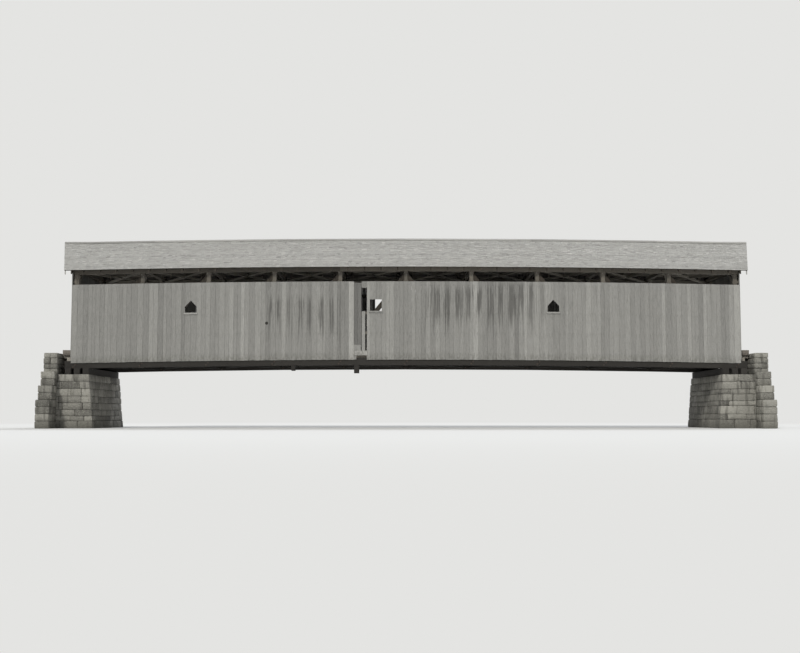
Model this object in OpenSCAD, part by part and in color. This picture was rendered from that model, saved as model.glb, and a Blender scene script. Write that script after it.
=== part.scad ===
// Covered timber road bridge: two multiple kingpost trusses under a gable roof, on stone abutments.
// X runs along the bridge, Y across it and Z up. Z = 0 is the foot of the abutments.
// Heights called "above the chord" are measured from the underside of the bottom chord.

/* [Span] */
// Truss panels between the two end posts, an even number
panels = 10; // [6:2:12]
// Length of one panel, from post centre to post centre
panel_l = 3350; // [3000:50:4020]
// Rise of the middle of the bridge over its ends
camber = 180; // [0:10:260]
// Run of the bottom chords past the end posts
chord_over = 500; // [400:10:600]

/* [Truss] */
// Centre line of each truss from the centre line of the road
truss_y = 2600; // [2300:10:3120]
// Depth of the bottom chord timbers
chord_d = 380; // [320:10:420]
// Thickness of each of the two timbers of a bottom chord
leaf_t = 130; // [100:5:150]
// Width of a post along the bridge
post_w = 220; // [180:5:260]
// Thickness of a post across the bridge
post_t = 200; // [160:5:240]
// Depth of the shoulders that let each chord timber into the posts
post_gain = 40; // [20:5:50]
// Depth of a brace, square to its length
brace_d = 220; // [160:5:260]
// Thickness of a brace across the bridge
brace_t = 160; // [120:5:180]
// Depth of the notches that house the ends of the braces
brace_notch = 30; // [15:5:40]
// Underside of the top chord above the chord
truss_h = 4800; // [4550:10:5100]
// Depth of the top chord
top_d = 280; // [220:10:320]
// Width of the top chord
top_w = 260; // [220:10:300]

/* [Floor] */
// Width of the floor beams
beam_w = 200; // [160:10:240]
// Depth of the floor beams
beam_d = 280; // [240:10:300]
// Depth of the daps in the inner chord timbers that take the floor beams
beam_dap = 100; // [60:10:120]
// Depth of the stringers
stringer_d = 160; // [140:10:200]
// Thickness of the floor planks
deck_t = 60; // [40:5:80]
// Clearance between the edge of the floor and the posts
deck_gap = 120; // [60:10:200]

/* [Roof] */
// Rise of the roof for each unit of run
roof_pitch = 0.585; // [0.5:0.005:0.75]
// Run of the eaves past the top chords
eave_run = 470; // [300:10:560]
// Depth of the rafters
rafter_d = 150; // [120:5:180]
// Thickness of the rafters
rafter_w = 70; // [50:5:90]
// Rafters in each panel
rafters_a_panel = 4; // [3:1:5]
// Thickness of the roof boards and shingles together
roof_t = 60; // [40:5:80]
// Run of the eaves past the end posts
eave_over = 500; // [400:10:600]
// Run of the ridge past the end posts
ridge_over = 1450; // [900:10:1600]

/* [Siding] */
// Thickness of the siding boards
board_t = 28; // [20:1:35]
// Thickness of the girts that the siding is nailed to
girt_t = 110; // [90:5:120]
// How far the siding laps down over the bottom chord
wall_lap = 120; // [60:5:160]
// Height of the open band between the siding and the top chord
eave_gap = 550; // [400:10:650]
// Clearance between the edge of the floor and the boards beside the portal
portal_gap = 20; // [0:5:80]
// Depth of the portal's head below the top chord
portal_drop = 600; // [560:10:750]

/* [Abutments] */
// Height of the bridge seat
seat_z = 2700; // [2000:50:3400]
// Height of the bed timbers on the seat
bed_h = 300; // [240:10:340]
// Run of an abutment past the centre lines of the trusses
abutment_run = 550; // [460:10:700]
// Batter of the front face, run for each unit of height
batter = 0.09; // [0:0.01:0.15]

/* [Hidden] */
half_l = panels * panel_l / 2;
mid = panels / 2;
base_z = seat_z + bed_h;
post_in = truss_y - post_t / 2;
post_out = truss_y + post_t / 2;
leaf_in = post_t / 2 - post_gain;
top_in = truss_y - top_w / 2;
top_out = truss_y + top_w / 2;
wall_y = post_out + girt_t;
skin_y = wall_y + board_t;
beam_z = chord_d - beam_dap;
floor_z = beam_z + beam_d + stringer_d;
road_z = floor_z + deck_t;
deck_w = 2 * (post_in - deck_gap);
portal_w = deck_w / 2 + portal_gap;
portal_h = truss_h - portal_drop;
wall_low = chord_d - wall_lap;
wall_high = truss_h - eave_gap;
eave_y = top_out + eave_run;
abutment_w = truss_y + abutment_run;
seam = 4;
// The birdsmouth of a rafter: how deep its heel drops behind the top chord
heel = 60;
rafter_v = rafter_d * sqrt(1 + roof_pitch * roof_pitch);
roof_v = roof_t * sqrt(1 + roof_pitch * roof_pitch);
end_x = half_l + post_w / 2;
face_x = end_x + 60;
gable_x = face_x + board_t;
back_x = half_l + chord_over + 250;
girt_rows = [chord_d + 160, chord_d + 1200, chord_d + 2200, wall_high - 230];
girt_h = 120;
// Windows: centre along the bridge, half width, sill, spring and top of the opening
near_windows = [[-10900, 290, 2730, 3030, 3330], [-1525, 295, 2750, 3320, 3320], [7470, 290, 2730, 3030, 3330]];
far_windows = [[-10900, 290, 2730, 3030, 3330], [-1475, 205, 2750, 3920, 3920], [7470, 290, 2730, 3030, 3330]];
// Patched boards of the near wall, the gap of a lost board beside them, and the rotted lower edge
patch_x = [-2634, -2253];
gap_x = [-2250, -1980];
gap_z = [2740, 3890];
rot_x = -2500;
rot_z = wall_low + 200;
patch_z = 1030;
// The one bay of the far side whose eave gap is boarded up
closed_x = [-panel_l, 0];
// Lower edge of the boards beside the portals, clear of the chords
portal_low = chord_d + 70;

// Panel points, and the rise of the cambered bridge at a panel point or at any X
function post_x(i) = -half_l + i * panel_l;
function rise_at(i) = camber * (1 - pow((i - mid) / mid, 2));
function rise(x) = let (u = (x + half_l) / panel_l, i = floor(u))
  u <= 0 || u >= panels ? 0 : rise_at(i) + (u - i) * (rise_at(i + 1) - rise_at(i));
// Height in the model of a point h above the chord at X = x
function lvl(x, h) = base_z + rise(x) + h;
function stations(x0, x1) = concat([x0],
  [for (i = [0:panels]) if (post_x(i) > x0 + 1 && post_x(i) < x1 - 1) post_x(i)], [x1]);
function reversed(v) = [for (i = [len(v) - 1:-1:0]) v[i]];

// A brace of the left half runs from the foot of post i up to the head of post i + 1
function brace_low(i) = base_z + rise_at(i) + chord_d + 60;
function brace_high(i) = base_z + rise_at(i + 1) + truss_h - 130;
function brace_angle(i) = let (h = brace_high(i) - brace_low(i), b = panel_l - post_w)
  acos(brace_d / sqrt(h * h + b * b)) - atan2(b, h);
function brace_cut(i) = brace_d / cos(brace_angle(i));

// Underside of the roof boards above the chord, at a distance y from the centre line
function roof_under(y) = truss_h + top_d - heel + rafter_v + (top_out - y) * roof_pitch;

// An outline in X and Z, made solid between two values of Y
module plate_xz(outline, y0, y1) {
  translate([0, y1, 0])
    rotate([90, 0, 0])
      linear_extrude(y1 - y0)
        polygon(outline);
}

// An outline in Y and Z, made solid between two values of X
module plate_yz(outline, x0, x1) {
  translate([x0, 0, 0])
    rotate([90, 0, 90])
      linear_extrude(x1 - x0)
        polygon(outline);
}

// A timber or a board that follows the camber from x0 to x1
module band(x0, x1, y0, y1, h0, h1) {
  s = stations(x0, x1);
  plate_xz(concat([for (x = s) [x, lvl(x, h0)]],
    [for (x = reversed(s)) [x, lvl(x, h1)]]), y0, y1);
}

// Where the timbers of a long member butt: at every second post from post i0 on
function butts(x0, x1, i0) = concat([x0],
  [for (i = [i0:2:panels]) if (post_x(i) > x0 + panel_l / 2 && post_x(i) < x1 - panel_l / 2) post_x(i)], [x1]);

// A long member laid in lengths that butt, end to end, at the places in the list b
module lengths(b, y0, y1, h0, h1) {
  for (k = [0:len(b) - 2])
    band(b[k] + (k > 0 ? seam / 2 : 0), b[k + 1] - (k < len(b) - 2 ? seam / 2 : 0), y0, y1, h0, h1);
}

// A length of roof from station i0 to i1 that follows the camber: its section is a list of
// [y, height above the chord], and ends gives how far past the end posts each point of it runs
module cambered(section, ends, i0, i1) {
  n = len(section);
  s = [for (i = [i0:i1]) i];
  last = len(s) - 1;
  points = [for (i = s) for (k = [0:n - 1])
    let (x = i < 0 ? -half_l - ends[k] : i > panels ? half_l + ends[k] :
      post_x(i) + (i == i0 ? seam / 2 : i == i1 ? -seam / 2 : 0))
      [x, section[k][0], base_z + section[k][1] + rise(x)]];
  sides = [for (j = [0:last - 1]) for (k = [0:n - 1])
    let (a = j * n + k, b = j * n + (k + 1) % n) [a, a + n, b + n, b]];
  polyhedron(points, concat([[for (k = [0:n - 1]) k]], sides,
    [[for (k = [n - 1:-1:0]) last * n + k]]), convexity = 4);
}

// The same section over the whole roof, in lengths of two panels that start at post i0
module roof_lengths(section, ends, i0) {
  b = concat([-1], [for (i = [i0:2:panels - 1]) i], [panels + 1]);
  for (k = [0:len(b) - 2])
    cambered(section, ends, b[k], b[k + 1]);
}

// Draws a piece of the far side again on the near side
module near() {
  mirror([0, 1, 0])
    children();
}

// Draws a piece of the left end again at the right end
module right() {
  mirror([1, 0, 0])
    children();
}

// Outline of the shaft of post i of the left half, notched for the braces that meet it
function post_outline(i) = let (
    x = post_x(i), xl = x - post_w / 2, xr = x + post_w / 2, n = brace_notch,
    head = i > 0, foot = i < mid,
    th = head ? tan(brace_angle(i - 1)) : 0, zh = head ? brace_high(i - 1) : 0,
    vh = head ? brace_cut(i - 1) : 0,
    tf = foot ? tan(brace_angle(i)) : 0, zf = foot ? brace_low(i) : 0,
    vf = foot ? brace_cut(i) : 0)
  concat(
    [[xl, lvl(xl, chord_d)], [x, lvl(x, chord_d)], [xr, lvl(xr, chord_d)]],
    foot ? [[xr, zf], [xr - n, zf - n * tf], [xr - n, zf - n * tf + vf], [xr, zf + vf]]
      : [[xr, zh - vh], [xr - n, zh - vh + n * th], [xr - n, zh + n * th], [xr, zh]],
    [[xr, lvl(xr, truss_h)], [x, lvl(x, truss_h)], [xl, lvl(xl, truss_h)]],
    head ? [[xl, zh], [xl + n, zh + n * th], [xl + n, zh - vh + n * th], [xl, zh - vh]] : []);

// One post: a notched shaft over a thinner foot that passes between the chord timbers
module post(i) {
  x = post_x(i);
  plate_xz(post_outline(i), post_in, post_out);
  band(x - post_w / 2, x + post_w / 2, truss_y - leaf_in, truss_y + leaf_in, 0, chord_d);
}

module posts() {
  color("#6f6b64") {
    for (i = [0:mid])
      post(i);
    right()
      for (i = [0:mid - 1])
        post(i);
  }
}

// One brace, its ends cut plumb where they sit in the notches of the posts
module brace(i) {
  xa = post_x(i) + post_w / 2 - brace_notch;
  xb = post_x(i + 1) - post_w / 2 + brace_notch;
  t = tan(brace_angle(i));
  za = brace_low(i) - brace_notch * t;
  zb = za + (xb - xa) * t;
  v = brace_cut(i);
  plate_xz([[xa, za], [xb, zb], [xb, zb + v], [xa, za + v]],
    truss_y - brace_t / 2, truss_y + brace_t / 2);
}

module braces() {
  color("#6f6b64") {
    for (i = [0:mid - 1])
      brace(i);
    right()
      for (i = [0:mid - 1])
        brace(i);
  }
}

// Floor beams stand beside the posts, on the side that no brace foot takes
function beam_side() = concat(
  [for (k = [0:mid - 1]) k * panel_l + post_w / 2 + 60 + beam_w / 2],
  [half_l - post_w / 2 - 60 - beam_w / 2, half_l + chord_over - beam_w / 2 - 40]);
function beam_xs() = concat([for (k = [mid + 1:-1:0]) -beam_side()[k]], beam_side());

// Two rows of timbers clasp the posts. Their butts are staggered, and the inner row is dapped.
module bottom_chord() {
  x1 = half_l + chord_over;
  y0 = truss_y - leaf_in - leaf_t;
  color("#3d3a36") {
    lengths(butts(-x1, x1, 1), truss_y + leaf_in, truss_y + leaf_in + leaf_t, 0, chord_d);
    difference() {
      lengths(butts(-x1, x1, 2), y0, y0 + leaf_t, 0, chord_d);
      for (x = beam_xs())
        band(x - beam_w / 2, x + beam_w / 2, y0 - 1, y0 + leaf_t + 1, beam_z, chord_d + 20);
    }
  }
}

module top_chord() {
  color("#5d5953")
    lengths(butts(-face_x, face_x, 2), top_in, top_out, truss_h, truss_h + top_d);
}

module floor_beams() {
  color("#5a554e")
    for (x = beam_xs())
      band(x - beam_w / 2, x + beam_w / 2, -post_in - 15, post_in + 15, beam_z, beam_z + beam_d);
}

module stringers() {
  pitch = deck_w / 4 - 130;
  b = beam_xs();
  n = len(b) - 1;
  x1 = back_x - 20;
  color("#625c54")
    for (y = [-2:2])
      lengths([-x1, b[2], b[4], b[mid + 1], b[n - 4], b[n - 2], x1],
        y * pitch - 75, y * pitch + 75, beam_z + beam_d, floor_z);
}

module deck() {
  color("#77716a")
    lengths(stations(-back_x + 20, back_x - 20), -deck_w / 2, deck_w / 2, floor_z, road_z);
}

module wheel_guards() {
  color("#6d6861")
    for (s = [-1, 1])
      lengths(butts(-back_x + 20, back_x - 20, 1), s * (deck_w / 2 - 110) - 70,
        s * (deck_w / 2 - 110) + 70, road_z, road_z + 180);
}

// One cross of lateral bracing between x0 and x1, halved where its bars meet
module lateral_cross(x0, x1, y, h, w, d) {
  a = atan2(2 * y, x1 - x0);
  l = sqrt(pow(x1 - x0, 2) + 4 * y * y);
  z = lvl((x0 + x1) / 2, h);
  translate([(x0 + x1) / 2, 0, z])
    intersection() {
      translate([-(x1 - x0) / 2, -y, 0])
        cube([x1 - x0, 2 * y, d]);
      union() {
        rotate([0, 0, a])
          translate([-l, -w / 2, 0])
            cube([2 * l, w, d]);
        difference() {
          rotate([0, 0, -a])
            translate([-l, -w / 2, 0])
              cube([2 * l, w, d]);
          rotate([0, 0, a])
            translate([-l, -w / 2 - 2, -1])
              cube([2 * l, w + 4, d + 2]);
        }
      }
    }
}

module upper_laterals() {
  color("#5d5953")
    for (i = [0:panels - 1])
      lateral_cross(post_x(i) + 110, post_x(i + 1) - 110, top_in, truss_h + 50, 120, 100);
}

module lower_laterals() {
  color("#4c4843")
    for (i = [0:panels - 1])
      lateral_cross(post_x(i) + 130, post_x(i + 1) - 130, truss_y - leaf_in - leaf_t, 100, 120, 100);
}

// The ends of two needle beams that are left hanging under the near chord
module needle_beams() {
  color("#3d3a36") {
    band(-2620, -2370, -truss_y - 230, -truss_y + 260, -400, 0);
    band(-5790, -5610, -truss_y - 210, -truss_y + 230, -260, 0);
  }
}

// Tie beams are notched over the top chords and drop between them
module tie_beams() {
  h = truss_h + top_d;
  color("#5d5953")
    for (i = [0:panels]) {
      x0 = post_x(i) - 100;
      x1 = post_x(i) + 100;
      band(x0, x1, -top_in, top_in, h - 100, h + 100);
      for (s = [0, 1])
        mirror([0, s, 0])
          band(x0, x1, top_in, top_out, h, h + 100);
    }
}

// Knee braces from the posts up to the tie beams
module knee_braces() {
  w = 120;
  color("#5d5953")
    for (i = [0:panels])
      for (s = [0, 1])
        mirror([0, s, 0]) {
          x = post_x(i);
          z = truss_h + top_d - 100 + base_z + min(rise(x - w / 2), rise(x + w / 2));
          plate_yz([[post_in, z - 900], [post_in, z - 730], [post_in - 730, z], [post_in - 900, z]],
            x - w / 2, x + w / 2);
        }
}

// One rafter, from the ridge to its tail, with a birdsmouth over the top chord
module rafter(x, w) {
  low = base_z + min(rise(x - w / 2), rise(x + w / 2));
  seat = lvl(x, truss_h + top_d) + abs(rise(x + w / 2) - rise(x - w / 2)) / 2;
  in_y = top_out - heel / roof_pitch;
  tail = eave_y - 20;
  plate_yz([[1, low + roof_under(1)], [1, low + roof_under(1) - rafter_v],
    [in_y, low + roof_under(in_y) - rafter_v], [in_y, seat], [top_out, seat],
    [top_out, low + roof_under(top_out) - rafter_v],
    [tail, low + roof_under(tail) - rafter_v], [tail, low + roof_under(tail)]],
    x - w / 2, x + w / 2);
}

module rafters() {
  n = panels * rafters_a_panel;
  color("#5d5953") {
    for (k = [0:n - 1])
      rafter(-half_l + (k + 0.5) * panel_l / rafters_a_panel, rafter_w);
    for (s = [-1, 1])
      rafter(s * (face_x - 30), 60);
  }
}

// One slope of boards and shingles, with the raked ends of the roof
module roof_slope() {
  z0 = roof_under(0);
  z1 = roof_under(eave_y);
  color("#aaaaa6")
    roof_lengths([[eave_y, z1], [eave_y, z1 + roof_v], [0, z0 + roof_v], [0, z0]],
      [eave_over, eave_over, ridge_over, ridge_over], 2);
}

// Two saddle boards cap the ridge
module ridge_boards() {
  z = roof_under(0) + roof_v;
  w = 170;
  color("#9b9b96")
    for (s = [0, 1])
      mirror([0, s, 0])
        roof_lengths([[w, z - w * roof_pitch], [w, z - w * roof_pitch + 28],
          [1, z + 28 - roof_pitch], [1, z - roof_pitch]],
          [ridge_over - 60, ridge_over - 60, ridge_over, ridge_over], 1);
}

// Run past the end post of a line in from the raked edge of the roof, at a distance y
function rake(y, inset) = ridge_over - (ridge_over - eave_over) * y / eave_y - inset;

// The raked verge: a sloping rafter under the roof edge, and the lookouts that run out to it
module verge() {
  color("#7d7a74")
    for (s = [0, 1])
      mirror([0, s, 0]) {
        intersection() {
          plate_yz([[1, lvl(-half_l, roof_under(1))], [1, lvl(-half_l, roof_under(1) - 200)],
            [eave_y - 20, lvl(-half_l, roof_under(eave_y - 20) - 200)],
            [eave_y - 20, lvl(-half_l, roof_under(eave_y - 20))]], -half_l - 2000, -half_l);
          linear_extrude(base_z + 9000)
            polygon([[-half_l - rake(0, 30), 0], [-half_l - rake(eave_y, 30), eave_y],
              [-half_l - rake(eave_y, 90), eave_y], [-half_l - rake(0, 90), 0]]);
        }
        for (y = [350, 1250, 2150])
          intersection() {
            plate_yz([[y, lvl(-half_l, roof_under(y))], [y, lvl(-half_l, roof_under(y) - 130)],
              [y + 90, lvl(-half_l, roof_under(y + 90) - 130)], [y + 90, lvl(-half_l, roof_under(y + 90))]],
              -half_l - 2000, -gable_x);
            linear_extrude(base_z + 9000)
              polygon([[-gable_x, 0], [-gable_x, eave_y], [-half_l - rake(eave_y, 91), eave_y],
                [-half_l - rake(0, 91), 0]]);
          }
      }
}

module girts() {
  color("#5d5953")
    for (k = [0:3])
      lengths(butts(-face_x, face_x, 1 + k % 2), post_out, wall_y, girt_rows[k], girt_rows[k] + girt_h);
}

// A short girt more, for the boards that close one bay of the far side
module far_girts() {
  girts();
  color("#5d5953")
    band(closed_x[0] - post_w / 2, closed_x[1] + post_w / 2, post_out, wall_y, truss_h - 190, truss_h - 90);
}

// A stretch of siding boards, from h0 to h1 above the chord
module boards(x0, x1, h0, h1) {
  band(x0 + seam / 2, x1 - seam / 2, wall_y, skin_y, h0, h1);
}

// The boards under and over one window: a pointed head where its spring is under its top
module window_boards(w) {
  x0 = w[0] - w[1];
  x1 = w[0] + w[1];
  boards(x0, x1, wall_low, w[2]);
  if (w[3] < w[4]) {
    for (e = [[x0 + seam / 2, w[3], w[0] - seam / 2, w[4]], [w[0] + seam / 2, w[4], x1 - seam / 2, w[3]]])
      plate_xz([[e[0], lvl(e[0], e[1])], [e[2], lvl(e[2], e[3])],
        [e[2], lvl(e[2], wall_high)], [e[0], lvl(e[0], wall_high)]], wall_y, skin_y);
  } else {
    boards(x0, x1, w[4], wall_high);
  }
}

module near_siding() {
  w = near_windows;
  color("#8a8984")
    near() {
      for (e = [[-face_x - seam / 2, w[0][0] - w[0][1]], [w[0][0] + w[0][1], patch_x[0]],
        [gap_x[1], w[1][0] - w[1][1]], [w[1][0] + w[1][1], w[2][0] - w[2][1]],
        [w[2][0] + w[2][1], face_x + seam / 2]])
        boards(e[0], e[1], wall_low, wall_high);
      for (e = w)
        window_boards(e);
      boards(patch_x[0], rot_x, wall_low, patch_z);
      boards(rot_x, gap_x[0], rot_z, patch_z);
      boards(gap_x[0], gap_x[1], rot_z, gap_z[0]);
      boards(gap_x[0], gap_x[1], gap_z[1], wall_high);
    }
}

module far_siding() {
  w = far_windows;
  color("#8a8984") {
    for (e = [[-face_x - seam / 2, w[0][0] - w[0][1]], [w[0][0] + w[0][1], w[1][0] - w[1][1]],
      [w[1][0] + w[1][1], w[2][0] - w[2][1]], [w[2][0] + w[2][1], face_x + seam / 2]])
      boards(e[0], e[1], wall_low, wall_high);
    for (e = w)
      window_boards(e);
    boards(closed_x[0], closed_x[1], wall_high + seam, truss_h - 20);
  }
}

// Two darker boards let in where the old ones had gone
module patch_boards() {
  m = (patch_x[0] + patch_x[1]) / 2;
  color("#6e6d69")
    near()
      for (e = [[patch_x[0], m], [m, gap_x[0]]])
        boards(e[0], e[1], patch_z + seam, wall_high - 60);
}

// A sill board under each window, nailed to the face of the siding
module window_sills() {
  color("#9a9993") {
    near()
      for (w = near_windows)
        band(w[0] - w[1] - 60, w[0] + w[1] + 60, skin_y, skin_y + 45, w[2] - 95, w[2] - 5);
    for (w = far_windows)
      band(w[0] - w[1] - 60, w[0] + w[1] + 60, skin_y, skin_y + 45, w[2] - 95, w[2] - 5);
  }
}

// Nailers across the end posts, and the header over the portal
module portal_frame() {
  z = lvl(-half_l, 0);
  color("#5d5953") {
    for (s = [0, 1])
      mirror([0, s, 0])
        for (h = [portal_low + 250, (portal_low + portal_h) / 2 - 160, portal_h - 600])
          plate_yz([[portal_w, z + h], [wall_y - girt_t, z + h], [wall_y - girt_t, z + h + 120],
            [portal_w, z + h + 120]], -face_x, -end_x);
    plate_yz([[-post_out, z + portal_h + 130], [post_out, z + portal_h + 130],
      [post_out, z + portal_h + 270], [-post_out, z + portal_h + 270]], -face_x, -end_x);
  }
}

// The boards beside the portal, with its clipped upper corners
module portal_boards() {
  z = lvl(-half_l, 0);
  spring = portal_h - 750;
  color("#8a8984")
    for (s = [0, 1])
      mirror([0, s, 0]) {
        plate_yz([[portal_w, z + portal_low], [skin_y, z + portal_low], [skin_y, z + spring - seam],
          [portal_w, z + spring - seam]], -gable_x, -face_x);
        plate_yz([[portal_w, z + spring], [skin_y, z + spring], [skin_y, z + portal_h - seam],
          [portal_w - 700, z + portal_h - seam]], -gable_x, -face_x);
      }
}

// The boards of the gable, from the head of the portal up to the roof
module gable_boards() {
  z = lvl(-half_l, 0);
  color("#8a8984")
    plate_yz([[-skin_y, z + portal_h], [skin_y, z + portal_h], [skin_y, z + roof_under(skin_y)],
      [0, z + roof_under(0)], [-skin_y, z + roof_under(skin_y)]], -gable_x, -face_x);
}

// Masonry with a battered face, a level seat and a back wall up to the road
module abutment() {
  front = half_l - 850;
  color("#7f7c76")
    plate_xz([[-back_x - 700, 0], [-front + seat_z * batter, 0], [-front, seat_z], [-back_x, seat_z],
      [-back_x, base_z + road_z], [-back_x - 700, base_z + road_z]], -abutment_w, abutment_w);
}

// Stepped wing walls beside the back wall
module wing_walls() {
  t = base_z + road_z - 250;
  step = 400;
  color("#7f7c76")
    for (s = [0, 1])
      mirror([0, s, 0])
        plate_yz(concat([[abutment_w, 0], [abutment_w + 3 * step, 0]],
          [for (k = [2:-1:0]) each [[abutment_w + (k + 1) * step, t - (k + 1) * t / 5],
            [abutment_w + k * step, t - (k + 1) * t / 5]]]), -back_x - 700, -back_x);
}

// Bed timbers across the seat, their tops cut to the slope of the chords
module bed_timbers() {
  color("#46423c")
    for (x = [half_l - 650, half_l - 200, half_l + 250])
      plate_xz([[-x - 150, seat_z], [-x + 150, seat_z], [-x + 150, lvl(-x + 150, 0)],
        [-x - 150, lvl(-x - 150, 0)]], -truss_y - 450, truss_y + 450);
}

abutment();  // left_abutment
right() abutment();  // right_abutment
wing_walls();  // left_wing_walls
right() wing_walls();  // right_wing_walls
bed_timbers();  // left_bed_timbers
right() bed_timbers();  // right_bed_timbers
near() bottom_chord();  // near_bottom_chord
bottom_chord();  // far_bottom_chord
near() posts();  // near_posts
posts();  // far_posts
near() braces();  // near_braces
braces();  // far_braces
near() top_chord();  // near_top_chord
top_chord();  // far_top_chord
floor_beams();
stringers();
deck();
wheel_guards();
lower_laterals();
needle_beams();
tie_beams();
knee_braces();
upper_laterals();
near() rafters();  // near_rafters
rafters();  // far_rafters
near() roof_slope();  // near_roof
roof_slope();  // far_roof
ridge_boards();
verge();  // left_verge
right() verge();  // right_verge
near() girts();  // near_girts
far_girts();
near_siding();
far_siding();
patch_boards();
window_sills();
portal_frame();  // left_portal_frame
right() portal_frame();  // right_portal_frame
portal_boards();  // left_portal_boards
right() portal_boards();  // right_portal_boards
gable_boards();  // left_gable_boards
right() gable_boards();  // right_gable_boards
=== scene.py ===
import math
from functools import partial

import bmesh
import bpy
import numpy as np
from bpy.props import FloatProperty, FloatVectorProperty, IntProperty, PointerProperty
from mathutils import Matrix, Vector


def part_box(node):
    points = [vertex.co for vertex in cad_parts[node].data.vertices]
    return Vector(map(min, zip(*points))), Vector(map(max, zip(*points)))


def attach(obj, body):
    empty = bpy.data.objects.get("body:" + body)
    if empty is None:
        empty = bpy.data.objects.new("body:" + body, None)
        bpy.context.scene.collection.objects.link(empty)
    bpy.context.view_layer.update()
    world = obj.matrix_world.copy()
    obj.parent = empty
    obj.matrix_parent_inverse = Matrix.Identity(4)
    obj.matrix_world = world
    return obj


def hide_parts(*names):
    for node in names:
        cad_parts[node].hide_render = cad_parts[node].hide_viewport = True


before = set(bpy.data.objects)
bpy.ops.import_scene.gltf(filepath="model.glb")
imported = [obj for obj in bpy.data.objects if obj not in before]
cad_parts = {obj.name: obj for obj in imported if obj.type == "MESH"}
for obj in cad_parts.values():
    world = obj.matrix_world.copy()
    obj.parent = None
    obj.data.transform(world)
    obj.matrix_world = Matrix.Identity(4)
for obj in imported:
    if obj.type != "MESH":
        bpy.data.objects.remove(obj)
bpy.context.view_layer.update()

bl_info = {
    "name": "Covered timber bridge",
    "version": (1, 0, 0),
    "blender": (4, 5, 0),
    "location": "3D View > Sidebar > Bridge",
    "description": "Boards, shingles, planks, stones and ironwork of a covered timber bridge",
    "category": "Object",
}

# The bridge's own lines, as in part.scad (metres)

# Length and number of the truss panels, and how much the bridge rises to its middle
PANEL, PANELS, CAMBER = 3.35, 10, 0.18
HALF = PANEL * PANELS / 2
POST_X = -HALF + PANEL * np.arange(PANELS + 1)
POST_RISE = CAMBER * (1 - ((np.arange(PANELS + 1) - PANELS / 2) / (PANELS / 2)) ** 2)
# Underside of the bottom chord at its ends
BASE_Z = 3.0
# Faces of the trusses and the walls, measured from the middle of the road
LEAF_IN, POST_IN, POST_OUT, LEAF_OUT, WALL_Y, SKIN_Y = 2.41, 2.5, 2.7, 2.79, 2.81, 2.838
# Heights above the underside of the bottom chord
CHORD_D, TOP_H, TOP_D = 0.38, 4.8, 0.28
WALL_LOW, WALL_HIGH, PORTAL_LOW = 0.26, 4.25, 0.45
GIRT_ROWS = np.array([0.54, 1.58, 2.58, 4.02]) + 0.06
CLOSING_GIRT, PORTAL_GIRTS = 4.66, [0.76, 2.21, 3.66]
# Floor: top of the planks, their thickness, half their length, and how far along the bridge they go
ROAD_H, DECK_T, DECK_HALF, DECK_END = 0.78, 0.06, 2.38, 17.48
# Faces of the end walls' framing, which their boards are nailed to
FACE_X = 16.92
# Roof: rise over run, slope to a metre across, eave, where ridge and eave end, length of slope and ridge line
PITCH = 0.585
SLANT = math.hypot(1, PITCH)
EAVE_Y = 3.2
RIDGE_END, EAVE_END = HALF + 1.45, HALF + 0.5
SLOPE = EAVE_Y * SLANT
RIDGE_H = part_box("near_roof")[0].z - BASE_Z + EAVE_Y * PITCH
# Portals: half width, where the clipped corners begin, top, and how far in from the sides the clip goes
PORTAL_W, PORTAL_SPRING, PORTAL_H, PORTAL_CLIP = 2.4, 3.45, 4.2, 0.7
# Abutments: height of the seat, both faces of the back wall, half width, and one step of the wing walls
SEAT_Z, BACK_X, BACK_END, ABUT_W, WING_STEP = 2.7, 17.5, 18.2, 3.15, 0.4
# Their front face at the seat and its batter, and the height of a course of the wing walls
FRONT_X, BATTER = 15.9, 0.09
WING_RISE = (BASE_Z + ROAD_H - 0.25) / 10
# Windows: centre along the bridge, half width, sill, spring and top of the opening
END_WINDOWS = [(x, 0.29, 2.73, 3.03, 3.33) for x in (-10.9, 7.47)]
NEAR_WINDOWS = [END_WINDOWS[0], (-1.525, 0.295, 2.75, 3.32, 3.32), END_WINDOWS[1]]
FAR_WINDOWS = [END_WINDOWS[0], (-1.475, 0.205, 2.75, 3.92, 3.92), END_WINDOWS[1]]
# The patch with the heads of its two boards, the lost board beside it and the rotted foot of the near wall
PATCH, PATCH_LOW, PATCH_HIGH = (-2.634, -2.253), 1.03, (4.19, 4.18)
GAP, GAP_H, ROT_X, ROT_H = (-2.25, -1.98), (2.74, 3.89), -2.5, 0.46
# The board nailed level over the foot of the patch: along the wall, up, and out from it
FOOT_BOARD = (-2.66, -1.95, 0.49, 0.73, 0.026, 0.05)
# The left edge of the pale board beside the patch, and the edges of two beside the middle window
BY_PATCH, PALE = -2.9, (-1.0, -0.6)
# The bay of the far side whose eave gap is boarded up, and the top of its boards
CLOSED_BAY, CLOSED_H = (-3.35, 0.0), 4.78
KNOT_HOLE = (-7.05, 2.15)
# Where one curtain of rain stains runs down the near wall, and how far it is to the next
DRIP_X, DRIP_STEP = 1.05, 0.535
# Siding boards: thickness, of the patch too, joint, arris, and how far an edge strays from straight
BOARD_T, PATCH_T, JOINT, ARRIS, STRAY = 0.028, 0.026, 0.0036, 0.004, 0.0016
# How far a board cups, springs off the wall at its foot, and waves
CUP, LOOSE, WAVE = 0.003, 0.006, 0.0015
# Nails: how far in from a board's edges, in shares of its width, and (radius, out from the wall) of a head
NAIL_IN, NAIL_HEAD = 0.2, ((0.0085, 0.02), (0.007, 0.0275))
# The wheels' tracks in the floor: distance from the middle of the road, width and depth
TRACK_Y, TRACK_W, TRACK_D = 0.8, 0.3, 0.007
# Where spikes hold the planks down, measured across the road
SPIKE_ROWS = (-2.1, -1.05, 0.0, 1.05, 2.1)
# The greatest random offset that gives each item a place of its own in the grain
FAR_OFF = 40


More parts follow.
